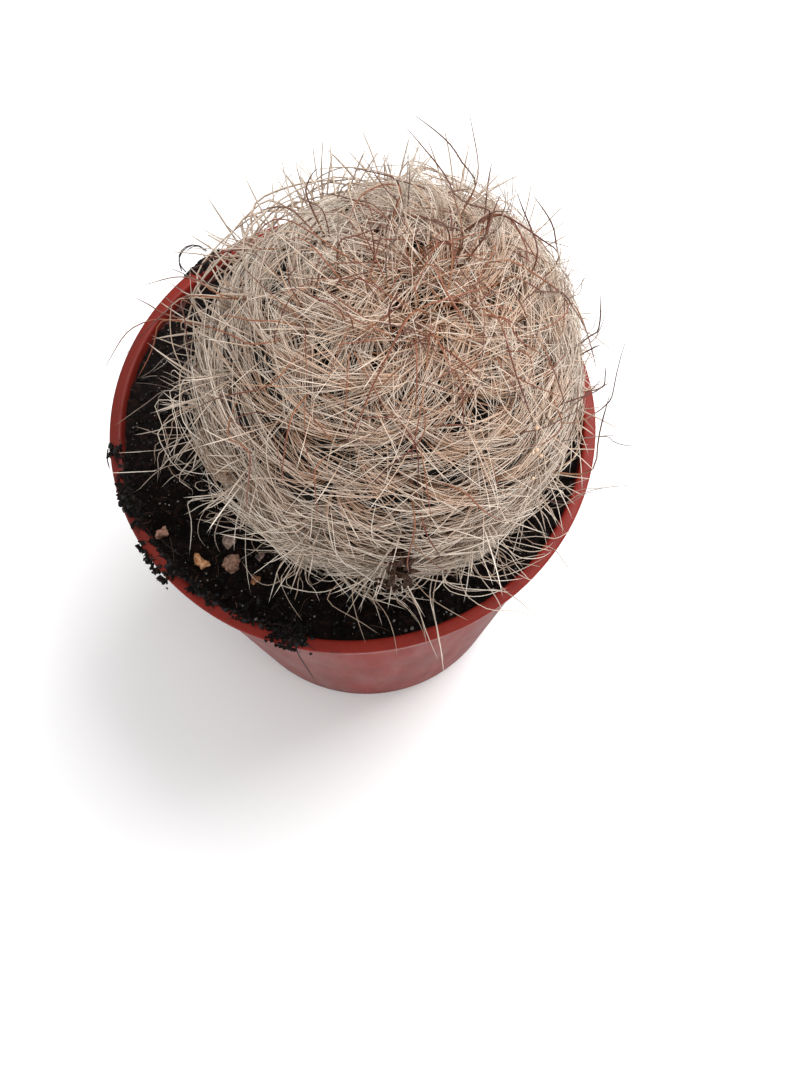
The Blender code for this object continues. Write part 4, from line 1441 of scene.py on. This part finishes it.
def smooth_route(points, steps):
    """Evenly spaced points on one soft curve through the given ones."""
    points = np.array(points)
    padded = np.concatenate(([2 * points[0] - points[1]], points, [2 * points[-1] - points[-2]]))
    dense = []
    for a, b, c, d in zip(padded, padded[1:], padded[2:], padded[3:]):
        for part in np.linspace(0.0, 1.0, CURVE_PARTS, endpoint=False):
            bend = 2 * a - 5 * b + 4 * c - d
            sway = 3 * (b - c) + d - a
            dense.append(b + 0.5 * part * (c - a + part * (bend + part * sway)))
    dense = evenly(np.array(dense + [points[-1]]), 4 * steps)
    for _ in range(ROUNDING):
        dense[1:-1] = (dense[:-2] + 2.0 * dense[1:-1] + dense[2:]) / 4.0
    return evenly(dense, steps)


def evenly(points, steps):
    """The same line with its points spaced evenly along it."""
    lengths = np.concatenate(([0.0], np.cumsum(np.linalg.norm(np.diff(points, axis=0), axis=1))))
    wanted = np.linspace(0.0, lengths[-1], steps + 1)
    return np.stack([np.interp(wanted, lengths, points[:, axis]) for axis in range(3)], axis=1)


def rooted(seen, steps):
    """A soft curve through the points a strand is seen at, from the cushion it points back to."""
    back = unit(seen[0] - seen[1])
    offsets = cushion_places - seen[0]
    along = offsets @ back
    aside = np.linalg.norm(offsets - np.outer(along, back), axis=1)
    cushion = cushion_places[np.argmin(aside + np.abs(along - ROOT_REACH))]
    root = cushion * (1.0 - ROOT_SINK / np.linalg.norm(cushion))
    return smooth_route([root] + seen, steps)


cushion_places = np.array([out * skin_distance(out) for _, out, _ in areoles()])
strand_blank = blank_spine("strand_blank", SPINE_SIDES, STRAND_BENDS)
draw = np.random.default_rng(STRAND_SEED)
routes = []
radii = []
for lines, laid_on, thickness in (
    (FLYING, on_coat, FLYING_RADIUS),
    (NET, on_coat, FLYING_RADIUS),
    (FALLEN, on_level, FALLEN_RADIUS),
):
    for line in lines:
        routes.append(rooted([laid_on(*point) for point in line], STRAND_BENDS + 1))
        radii.append(draw.uniform(*thickness))
for foot, top, count in TUFTS:
    for _ in range(count):
        end = draw.normal(top, TUFT_SPREAD)
        bow = draw.normal(0.5 * np.add(foot, end), 0.5 * TUFT_SPREAD)
        spot = draw.normal(foot, TUFT_FOOT_SPREAD * TUFT_SPREAD)
        seen = [on_coat(*pixel, up) for pixel, up in zip((spot, bow, end), TUFT_HEIGHTS)]
        routes.append(rooted(seen, STRAND_BENDS + 1))
        radii.append(draw.uniform(*TUFT_RADIUS))
routes = to_world(np.array(routes))
radii = np.array(radii)
tones = draw.uniform(0.0, 1.0, (len(routes), 2)) * np.array(STRAND_TONES)
# Painted shade: these hairs are painted grey brown for the shade on the side that faces the view,
# against the bright background.
shade_grey = new_finish("shade_greyed_strands", Roughness=0.5, Specular_IOR_Level=0.35)
_, tone, _ = growth_of(shade_grey)
connect(shade_grey, "Base Color", blend(shade_grey, tone, paint(88, 74, 66), paint(158, 142, 130)))
for name, finish, chosen in (
    ("flying_strands", shade_grey, slice(0, len(FLYING))),
    ("loose_strands", cream, slice(len(FLYING), None)),
):
    shape = (routes[chosen], radii[chosen], STRAND_TIP_PART)
    plant_spines(name, strand_blank, *shape, tones[chosen], finish)


# Bristles. Stiffer spines up to three centimetres long stand out through the white coat, most of
# them round the crown. They are reddish brown with tan roots and dark tips. The ones that show
# best are laid along the lines they have in the picture; the rest are drawn at random.
BRISTLE_SEED = 21
BRISTLE_BENDS = 9
BRISTLE_RADIUS = (0.00007, 0.00013)
BRISTLE_LENGTH = (0.0045, 0.0115)
BRISTLE_LIFT = (0.0048, 0.0066)
BRISTLE_LIFT_PART = 0.12
BRISTLE_TIP_RISE = (-0.0005, 0.0040)
BRISTLE_CURL = 0.12
BRISTLES_PER_AREOLE = 5.2
BRISTLE_THINNING = 0.65
FEWEST_BRISTLES = 0.3
BRISTLE_ROWS = 13
BRISTLE_TIP_PART = 0.28
TRACED_RADIUS = (0.00011, 0.00017)
# Traced bristles that end above this row or right of this column get the darker, greyer tones of
# painted shade.
SHADE_ABOVE = 215
SHADE_RIGHT = 585
SHADE_TONES = ((0.3, 0.8), (0.2, 0.2))
RUST_TONES = ((0.0, 0.0), (1.0, 0.8))
TRACED = (
    (
        (341, 253, 6), (327, 243, 7), (310, 232, 7), (292, 221, 8), (278, 218, 8), (268, 220, 9),
        (259, 229, 9), (256, 247, 10),
    ),
    (
        (332, 269, 6), (321, 256, 6), (314, 247, 7), (304, 239, 7), (295, 237, 7), (288, 239, 8),
        (282, 245, 8),
    ),
    (
        (399, 201, 7), (401, 192, 7), (402, 184, 8), (399, 181, 8), (379, 186, 8), (364, 192, 9),
        (357, 201, 9), (352, 211, 10), (349, 223, 10),
    ),
    ((398, 202, 7), (390, 196, 9), (372, 170, 10), (358, 150, 12)),
    ((398, 181, 8), (388, 176, 9), (372, 172, 10), (347, 167, 11)),
    (
        (378, 207, 7), (361, 202, 7), (346, 198, 8), (332, 194, 8), (321, 193, 8), (316, 195, 9),
        (314, 200, 9),
    ),
    ((323, 210, 7), (311, 204, 8), (301, 198, 8), (288, 193, 9)),
    ((307, 197, 8), (308, 183, 9), (312, 173, 10), (319, 167, 11)),
    ((295, 212, 7), (284, 207, 8), (269, 208, 8), (258, 211, 9)),
    ((374, 247, 6), (371, 229, 8), (367, 216, 9)),
    ((448, 228, 7), (429, 220, 8), (416, 214, 9)),
    ((338, 242, 7), (355, 237, 7), (372, 230, 8), (393, 226, 8)),
    ((274, 338, 6), (277, 329, 7), (288, 301, 7), (298, 289, 8)),
    ((339, 308, 6), (321, 301, 7), (304, 292, 7), (288, 284, 8)),
    ((351, 318, 6), (339, 304, 7), (329, 292, 8)),
    ((288, 281, 7), (297, 269, 8), (295, 258, 9)),
    ((471, 198, 7), (477, 183, 9), (478, 161, 10), (473, 133, 12), (468, 106, 14)),
    (
        (463, 230, 7), (456, 207, 8), (452, 187, 9), (442, 170, 10), (432, 158, 12), (411, 133, 13),
        (400, 121, 14),
    ),
    ((477, 183, 8), (462, 165, 10), (456, 151, 11), (441, 135, 12), (409, 111, 14)),
    ((487, 191, 8), (489, 177, 9), (492, 161, 10)),
    ((483, 240, 8), (492, 215, 10), (501, 193, 11)),
    ((491, 213, 8), (502, 212, 9), (514, 211, 10)),
    ((491, 213, 8), (482, 208, 9), (461, 201, 9), (443, 180, 10)),
    ((489, 215, 8), (482, 221, 8), (475, 227, 9)),
    ((493, 213, 7), (508, 217, 8), (529, 230, 9), (544, 242, 9), (558, 249, 10), (559, 263, 11)),
    ((497, 214, 7), (515, 223, 8), (522, 238, 8), (528, 253, 9), (523, 266, 10)),
    ((464, 234, 7), (443, 226, 8), (417, 214, 9)),
    ((434, 248, 7), (464, 238, 8), (487, 230, 9)),
    ((559, 263, 7), (555, 246, 8), (556, 234, 9), (551, 221, 10), (542, 207, 11), (531, 193, 12)),
    ((538, 258, 7), (530, 226, 8), (522, 207, 10), (515, 187, 11)),
    (
        (506, 257, 6), (522, 266, 6), (542, 279, 6), (559, 290, 6), (567, 299, 6), (571, 307, 7),
        (566, 315, 7), (555, 323, 7), (537, 332, 7), (525, 340, 7),
    ),
    ((560, 292, 7), (567, 299, 7), (578, 315, 8), (586, 330, 8)),
    ((588, 337, 6), (597, 333, 8), (600, 326, 9), (601, 307, 10), (601, 290, 12)),
    ((591, 349, 6), (598, 346, 8), (605, 343, 9)),
    ((600, 389, 7), (605, 378, 8), (606, 365, 10)),
    ((578, 398, 6), (595, 392, 8), (612, 380, 10)),
    (
        (575, 424, 6), (590, 416, 7), (606, 406, 8), (612, 398, 9), (615, 382, 10), (620, 358, 11),
        (629, 332, 12),
    ),
    ((591, 475, 6), (597, 445, 7), (602, 423, 8), (607, 405, 9), (611, 390, 10)),
    ((537, 430, 6), (553, 423, 7), (574, 413, 8), (587, 405, 9)),
    (
        (495, 312, 7), (503, 332, 7), (509, 350, 7), (514, 370, 7), (522, 391, 6), (529, 411, 6),
        (535, 427, 6), (536, 443, 6),
    ),
    ((504, 318, 6), (517, 327, 6), (532, 331, 7)),
    ((501, 316, 6), (518, 341, 6), (541, 353, 7), (549, 363, 7)),
    ((525, 352, 7), (531, 363, 7), (533, 372, 6), (532, 378, 6), (525, 384, 6)),
    ((529, 384, 7), (547, 391, 8), (564, 398, 8)),
    ((563, 421, 7), (559, 431, 7), (551, 439, 6), (540, 445, 6), (526, 446, 6)),
    ((164, 319, 7), (155, 319, 8), (141, 323, 9), (126, 332, 9), (113, 353, 10), (102, 373, 11)),
    ((164, 314, 7), (154, 307, 8), (144, 302, 9), (132, 296, 10)),
    (
        (217, 295, 7), (210, 289, 8), (198, 280, 8), (185, 277, 9), (169, 278, 10), (152, 283, 10),
        (137, 287, 11),
    ),
    ((226, 251, 7), (203, 264, 8), (186, 272, 9)),
    (
        (213, 297, 7), (201, 296, 8), (183, 296, 8), (175, 301, 9), (164, 314, 9), (148, 327, 10),
        (132, 348, 10), (121, 360, 11),
    ),
    ((163, 319, 7), (155, 342, 7), (146, 363, 8), (136, 380, 8)),
    ((256, 345, 6), (238, 338, 6), (224, 332, 7), (210, 327, 8), (199, 327, 8)),
    ((274, 321, 6), (252, 321, 7), (235, 317, 7), (217, 315, 8)),
    ((183, 299, 7), (185, 319, 7), (187, 342, 6), (190, 363, 6)),
    ((280, 377, 7), (261, 390, 7), (238, 393, 7), (215, 399, 7), (200, 406, 7), (190, 416, 7)),
    ((235, 422, 7), (247, 414, 7), (263, 412, 7), (274, 415, 7)),
    ((438, 240, 9), (424, 268, 9), (408, 306, 7)),
    ((413, 311, 9), (388, 355, 9), (364, 406, 8), (357, 441, 7)),
    ((320, 270, 6), (360, 263, 8), (417, 260, 9)),
    ((340, 280, 7), (381, 269, 8)),
    ((360, 278, 8), (374, 294, 8), (379, 305, 7)),
    ((389, 309, 8), (401, 291, 9), (409, 282, 10)),
    ((411, 313, 8), (460, 295, 9), (500, 283, 9)),
    ((412, 345, 7), (432, 334, 8), (460, 318, 8)),
    ((431, 263, 8), (446, 293, 9), (472, 329, 8), (485, 342, 7)),
    ((447, 240, 8), (457, 264, 9), (471, 285, 8)),
    ((434, 335, 7), (447, 360, 8), (458, 385, 7)),
    ((458, 359, 7), (485, 383, 7)),
    ((460, 380, 7), (463, 415, 8), (465, 441, 6)),
    ((416, 347, 7), (417, 378, 8), (415, 419, 7)),
    ((415, 443, 7), (417, 493, 7)),
    ((425, 433, 7), (389, 467, 7), (366, 489, 6)),
    ((363, 418, 7), (420, 419, 8)),
    ((447, 425, 7), (483, 426, 7)),
    ((463, 491, 6), (480, 508, 7), (503, 522, 7)),
    ((426, 533, 7), (434, 546, 8), (443, 562, 8)),
    ((415, 524, 7), (411, 545, 8), (407, 561, 9), (409, 573, 9)),
    ((225, 437, 7), (250, 443, 8), (249, 477, 7), (245, 517, 6)),
    ((295, 409, 7), (286, 441, 8), (281, 487, 6)),
    ((316, 466, 6), (316, 492, 7), (318, 523, 6)),
)


def tan_to_rust(name):
    """Reddish brown that is tan at the root and dark at the tip, read from the growth colours."""
    brown = new_finish(name, Roughness=0.5, Specular_IOR_Level=0.35)
    along, tone, greyness = growth_of(brown)
    rust = blend(brown, tone, paint(98, 46, 34), paint(140, 84, 60))
    # Greyness turns the brown grey: a random tone for most bristles, and painted shade for the
    # traced ones at the top and the right edge.
    rust = blend(brown, band(brown, greyness, 0.6, 1.0, 0.0, 0.7), rust, paint(80, 62, 54))
    rust = blend(brown, band(brown, along, 0.0, 0.55, 0.85, 0.0), rust, paint(172, 124, 88))
    near_tip = band(brown, along, 0.6, 1.0, 0.0, 0.8)
    dark_tip = combine(brown, "MULTIPLY", near_tip, band(brown, tone, 0.7, 0.4))
    connect(brown, "Base Color", blend(brown, dark_tip, rust, paint(64, 40, 34)))
    return brown


bristle_blank = blank_spine("bristle_blank", SPINE_SIDES, BRISTLE_BENDS)
draw = np.random.default_rng(BRISTLE_SEED)
bristles = []
for row, out, down in areoles():
    wanted = max(FEWEST_BRISTLES, BRISTLES_PER_AREOLE - BRISTLE_THINNING * row)
    wanted = wanted if row <= BRISTLE_ROWS else 0.0
    count = int(wanted) + (draw.random() < wanted - int(wanted))
    for _ in range(count):
        heading = heading_at(out, down, draw.uniform(0.0, math.tau))
        root = out * skin_distance(out) + heading * draw.uniform(0.0, ROOT_SPREAD)
        lift = coat_at(out) * draw.uniform(*BRISTLE_LIFT)
        tip = lift + draw.uniform(*BRISTLE_TIP_RISE)
        length = draw.uniform(*BRISTLE_LENGTH)
        curl = draw.normal(0.0, BRISTLE_CURL)
        tone = (draw.uniform(0.0, 1.0), draw.uniform(0.0, 1.0))
        radius = draw.uniform(*BRISTLE_RADIUS)
        bristles.append((root, heading, length, lift, tip, curl, radius, tone))
brown = tan_to_rust("brown_bristles")
routes, radii, tones = routes_of(bristles, BRISTLE_BENDS, BRISTLE_LIFT_PART)
plant_spines("brown_bristles", bristle_blank, routes, radii, BRISTLE_TIP_PART, tones, brown)

routes = [rooted([on_coat(*point) for point in line], STRAND_BENDS + 1) for line in TRACED]
routes = to_world(np.array(routes))
radii = draw.uniform(*TRACED_RADIUS, len(routes))
tones = draw.uniform(0.0, 1.0, (len(routes), 2))
# Painted shade: traced bristles that end at the top or the right edge are painted darker and greyer
# for the shade on the side that faces the view.
tip_in_shade = np.array([line[-1][1] < SHADE_ABOVE or line[-1][0] > SHADE_RIGHT for line in TRACED])
shade_toned, rusty = (least + np.array(more) * tones for least, more in (SHADE_TONES, RUST_TONES))
tones = np.where(tip_in_shade[:, None], shade_toned, rusty)
plant_spines("long_bristles", strand_blank, routes, radii, BRISTLE_TIP_PART, tones, brown)


# Peat fibres. Fine brown and black root fibres lie on the compost and stick out of the crumbs
# that spilled over the rim. The ones that show best are traced: fine ones at the left, and strong
# ones that hang down the front of the pot, curl up at the back and lie over the rim at the left.
FIBRE_SEED = 8
FIBRE_BENDS = 7
FIBRE_COUNT = 260
FIBRES_PER_SPILL = 4
FINE_FIBRE_RADIUS = 0.00006
STRONG_FIBRE_RADIUS = 0.00014
STRONG_FIBRE_TONE = 0.5
FIBRE_RADIUS = (0.00003, 0.00008)
FIBRE_LENGTH = (0.0012, 0.0065)
FIBRE_CURL = 1.3
FIBRE_HOVER = 0.0004
SPILL_FIBRE_PART = 0.45
FIBRE_STRAY = 0.2
FIBRE_TIGHTNESS = 3.0
ON_RIM = 0.998 * RIM_RADIUS
INWARD = 0.07
FINE_FIBRES = (
    ((370, 625, 0), (379, 627, 0), (390, 631, 0)),
    ((159, 537, 0), (168, 546, 0), (176, 552, 0), (184, 558, 0)),
    ((170, 537, 0), (173, 551, 0), (174, 560, 0), (173, 568, 0)),
    ((160, 562, 0), (157, 572, 0), (163, 577, 0), (164, 583, 0)),
    ((163, 566, 0), (169, 574, 0), (166, 580, 0)),
)
STRONG_FIBRES = (
    ((296, 648, 0), (299, 656, -3), (305, 665, -9), (316, 682, -17)),
    ((186, 272, 1), (180, 266, 2), (178, 257, 3), (183, 248, 3), (193, 244, 3), (204, 247, 2)),
    ((182, 271, 1), (178, 262, 2), (181, 252, 3), (189, 246, 3), (198, 244, 3), (209, 256, 1)),
    ((207, 251, 1), (199, 246, 2), (190, 248, 3), (185, 253, 3)),
    ((108, 449, 0), (107, 456, -1), (108, 463, -1), (110, 470, -1)),
)


def fibre_route(draw, x, y, height, part=1.0):
    """A short curly line that starts at a point and stays near one height or the ground."""
    heading = draw.uniform(0.0, math.tau)
    step = part * draw.uniform(*FIBRE_LENGTH) / (FIBRE_BENDS + 1)
    swerve = draw.normal(0.0, FIBRE_CURL)
    route = []
    for _ in range(FIBRE_BENDS + 2):
        inward = min(1.0, ON_RIM / math.hypot(x, y))
        x, y = x * inward, y * inward
        hover = draw.uniform(0.0, FIBRE_HOVER)
        base = ground_height(x, y) if height is None else height
        route.append((x, y, max(base, 0.0) + hover))
        x += step * math.cos(heading)
        y += step * math.sin(heading)
        heading += swerve / FIBRE_BENDS + draw.normal(0.0, FIBRE_STRAY)
    return route


fibre_blank = blank_spine("fibre_blank", SPINE_SIDES, FIBRE_BENDS)
draw = np.random.default_rng(FIBRE_SEED)
routes = []
for _ in range(FIBRE_COUNT):
    x, y = scatter(draw)
    inner = 1.0 - INWARD * draw.random()
    routes.append(fibre_route(draw, x * inner, y * inner, None))
for (across, down), spill_span, _, _ in SPILLS:
    for _ in range(FIBRES_PER_SPILL):
        x, y = draw.normal(at_rim_level(across, down).xy, spill_span / FIBRE_TIGHTNESS)
        routes.append(fibre_route(draw, x, y, POT_TOP, SPILL_FIBRE_PART))
traced_fibres = FINE_FIBRES + STRONG_FIBRES
for line in traced_fibres:
    routes.append(to_world(smooth_route([on_level(*point) for point in line], FIBRE_BENDS + 1)))
routes = np.array(routes)
radii = draw.uniform(*FIBRE_RADIUS, len(routes))
radii[-len(traced_fibres):] = FINE_FIBRE_RADIUS
radii[-len(STRONG_FIBRES):] = STRONG_FIBRE_RADIUS
tones = draw.uniform(0.0, 1.0, (len(routes), 2))
tones[-len(STRONG_FIBRES):] = STRONG_FIBRE_TONE
fibres = spines_piece("peat_fibres", fibre_blank, routes, radii, TIP_PART, tones)
fibre_brown = new_finish("peat_fibre", Roughness=0.8)
_, tone, _ = growth_of(fibre_brown)
tone = band(fibre_brown, tone, 0.45, 1.0)
fibre_colour = blend(fibre_brown, tone, paint(22, 15, 12), paint(112, 72, 54))
dress(fibres, fibre_brown, fibre_colour)


# Dried flower. The shrivelled remnant of one flower is caught in the spines at the front: a
# crumpled, collapsed dark brown tube, and the curled papery petals that dried round its mouth.
FLOWER_COLUMN = 20
FLOWER_ROW = 11
FLOWER_LENGTH = 0.0070
FLOWER_RADIUS = 0.0021
FLOWER_GAP = 0.0003
FLOWER_LOBES = 3
FLOWER_FOLDS = (480, 1500)
PETAL_STEPS = 12
PETAL_THICKNESS = 0.00012
PETAL_CURL = 0.35
PETAL_CRUMPLE = 0.0005
FLOWER_RINGS = 20
FLOWER_LIP = 0.0004
FLOWER_HOLLOW = 0.3
FLOWER_GIRTH = 0.66
FLOWER_FLARE = 0.22
FLOWER_CREASES = (0.45, 0.22)
FLOWER_WIDEST = 1.05
FLOWER_FLAT = 0.8
FLOWER_SHRINK = 0.12
PETAL_BANDS = 4
PETAL_NARROW = 0.35
PETAL_ROUND = (0.1, 0.85)
PETAL_BUMPS = 2600
PETALS = (
    (0.0014, ((391, 574, 7), (391, 566, 8), (396, 561, 9), (402, 565, 8))),
    (0.0009, ((405, 572, 7), (407, 566, 8), (412, 561, 9), (416, 558, 9))),
    (0.0008, ((404, 574, 7), (411, 571, 8), (420, 571, 9))),
    (0.0009, ((391, 583, 7), (383, 579, 8), (374, 579, 8))),
    (0.0007, ((392, 587, 7), (384, 584, 8), (375, 583, 7))),
    (0.0010, ((390, 590, 6), (398, 588, 7), (407, 581, 8))),
    (0.0012, ((393, 574, 8), (391, 582, 8), (388, 589, 7))),
    (0.0012, ((400, 574, 8), (407, 577, 8), (409, 585, 7))),
)

flower_out = direction_at(math.pi * FLOWER_COLUMN / RIBS, ROW_ANGLE * FLOWER_ROW)
flower_foot = flower_out * (skin_distance(flower_out) + FLOWER_GAP)
flower_turn = Vector(flower_out).to_track_quat("Z", "Y").to_matrix().to_4x4()
bpy.ops.mesh.primitive_cylinder_add(
    vertices=40, radius=FLOWER_RADIUS, depth=FLOWER_LENGTH, location=(0.0, 0.0, FLOWER_LENGTH / 2)
)
flower = start("withered_flower")
pick(flower, "FACE", lambda middle, normal: normal.z > 0.5)
bpy.ops.mesh.inset(thickness=FLOWER_LIP)
extrude_up(-FLOWER_HOLLOW * FLOWER_LENGTH)
for ring in range(1, FLOWER_RINGS):
    ring_at(FLOWER_LENGTH * ring / FLOWER_RINGS)
leave()
for vertex in flower.data.vertices:
    part = vertex.co.z / FLOWER_LENGTH
    turn = math.atan2(vertex.co.y, vertex.co.x)
    broad, fine = (noise.noise(vertex.co * folds) for folds in FLOWER_FOLDS)
    flare = FLOWER_FLARE * part * (1.0 + 0.5 * math.cos(FLOWER_LOBES * turn))
    fold = FLOWER_GIRTH + flare + FLOWER_CREASES[0] * broad + FLOWER_CREASES[1] * fine
    fold = min(fold, FLOWER_WIDEST)
    vertex.co.x *= fold
    vertex.co.y *= fold * FLOWER_FLAT
    scallop = 1.0 + math.cos(FLOWER_LOBES * turn + 1.0)
    vertex.co.z *= 1.0 - FLOWER_SHRINK * scallop * part - FLOWER_SHRINK * abs(fine)
flower.data.transform(Matrix.Translation(flower_foot) @ flower_turn)

for width, line in PETALS:
    bpy.ops.mesh.primitive_grid_add(
        x_subdivisions=PETAL_STEPS, y_subdivisions=PETAL_BANDS, size=1.0
    )
    petal = start("petal")
    route = smooth_route([on_coat(*point) for point in line], PETAL_STEPS)
    for vertex in petal.data.vertices:
        step = (vertex.co.x + 0.5) * PETAL_STEPS
        middle, before, after = (
            np.array([np.interp(at, range(PETAL_STEPS + 1), route[:, axis]) for axis in range(3)])
            for at in (step, max(0.0, step - 1.0), min(float(PETAL_STEPS), step + 1.0))
        )
        outward = unit(middle)
        aside = unit(np.cross(after - before, outward))
        round_part = PETAL_ROUND[0] + PETAL_ROUND[1] * step / PETAL_STEPS
        taper = PETAL_NARROW + (1.0 - PETAL_NARROW) * math.sin(math.pi * round_part)
        across = 2.0 * vertex.co.y * taper
        place = middle + aside * across * width / 2
        crumple = PETAL_CRUMPLE * noise.noise(Vector(place) * PETAL_BUMPS)
        vertex.co = place + outward * (width * PETAL_CURL * across**2 + crumple)
    shell = petal.modifiers.new("papery", "SOLIDIFY")
    shell.thickness = PETAL_THICKNESS
    shell.offset = 0.0
    apply_all(petal)
    flower.select_set(True)
    bpy.context.view_layer.objects.active = flower
    bpy.ops.object.join()
flower.data.transform(plant_frame)
take(flower)
smooth_by(50)
withered = new_finish("withered_petals", Roughness=0.85, Specular_IOR_Level=0.15)
papery = mottle(withered, (16, 9, 6), (78, 50, 34), 0.0010, 5.0)
papery = fleck(
    withered, papery, (128, 96, 72), 0.6, (0.58, 0.68), 0.0006, detail=4.0, shift=3.8
)
dress(flower, withered, papery, (0.0003, 5.0, 0.0002))
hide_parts("dried_flower")


# Sap drops. A few beads of dried nectar stick to the spines at the right.
DROPS = ((537, 450, 6.8), (533, 453, 6.6), (537, 428, 7.0), (533, 478, 6.8), (541, 456, 6.7))
DROP_RADIUS = (0.00030, 0.00021)
DROP_BUMPS = 4000
DROP_RELIEF = 0.12
sap = new_finish("dried_nectar", Roughness=0.08, Coat_Weight=0.6)
# The honey colour is paled towards white, partly as a painted highlight for the beads' bright
# glints.
honey_and_glint = mottle(sap, (188, 138, 100), (236, 208, 178), 0.0008)
for index, point in enumerate(DROPS):
    bead = ball("nectar_drop_%d" % (index + 1), 3)
    radius = DROP_RADIUS[index % 2]
    middle = Vector(on_coat(*point))
    for vertex in bead.data.vertices:
        relief = DROP_RELIEF * noise.noise(vertex.co + middle * DROP_BUMPS)
        vertex.co = vertex.co * radius * (1.0 + relief)
    bead.data.transform(plant_frame @ Matrix.Translation(middle))
    take(bead)
    bpy.ops.object.shade_smooth()
    dress(bead, sap, honey_and_glint)


# Surroundings. A plain pale floor and soft studio light, almost even from all sides, with one
# large panel overhead and a weaker one from the front right.
FLOOR_SIZE = 4.0
WORLD_LIGHT = 0.82
LIGHT_TARGET = (0.0, 0.0, 0.09)
bpy.ops.mesh.primitive_plane_add(size=FLOOR_SIZE)
table_top = start("pale_floor")
white = new_finish("pale_floor", Roughness=0.9)
connect(white, "Base Color", mottle(white, (250, 250, 250), (252, 252, 252), 0.4))
table_top.data.materials.append(white)
table_top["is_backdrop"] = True

world = bpy.data.worlds.new("studio")
bpy.context.scene.world = world
world.use_nodes = True
background = world.node_tree.nodes["Background"]
background.inputs["Color"].default_value = (1.0, 1.0, 1.0, 1.0)
background.inputs["Strength"].default_value = WORLD_LIGHT


def panel(name, place, size, power):
    light = bpy.data.lights.new(name, "AREA")
    light.size = size
    light.energy = power
    lamp = bpy.data.objects.new(name, light)
    aim = (Vector(LIGHT_TARGET) - Vector(place)).to_track_quat("-Z", "Y")
    lamp.matrix_world = Matrix.Translation(place) @ aim.to_matrix().to_4x4()
    bpy.context.scene.collection.objects.link(lamp)


panel("overhead", (0.30, 0.22, 0.70), 0.45, 5.8)
panel("front_right", (0.6, -0.45, 0.45), 0.4, 0.7)
bpy.context.scene.view_settings.view_transform = "Standard"

low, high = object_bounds()
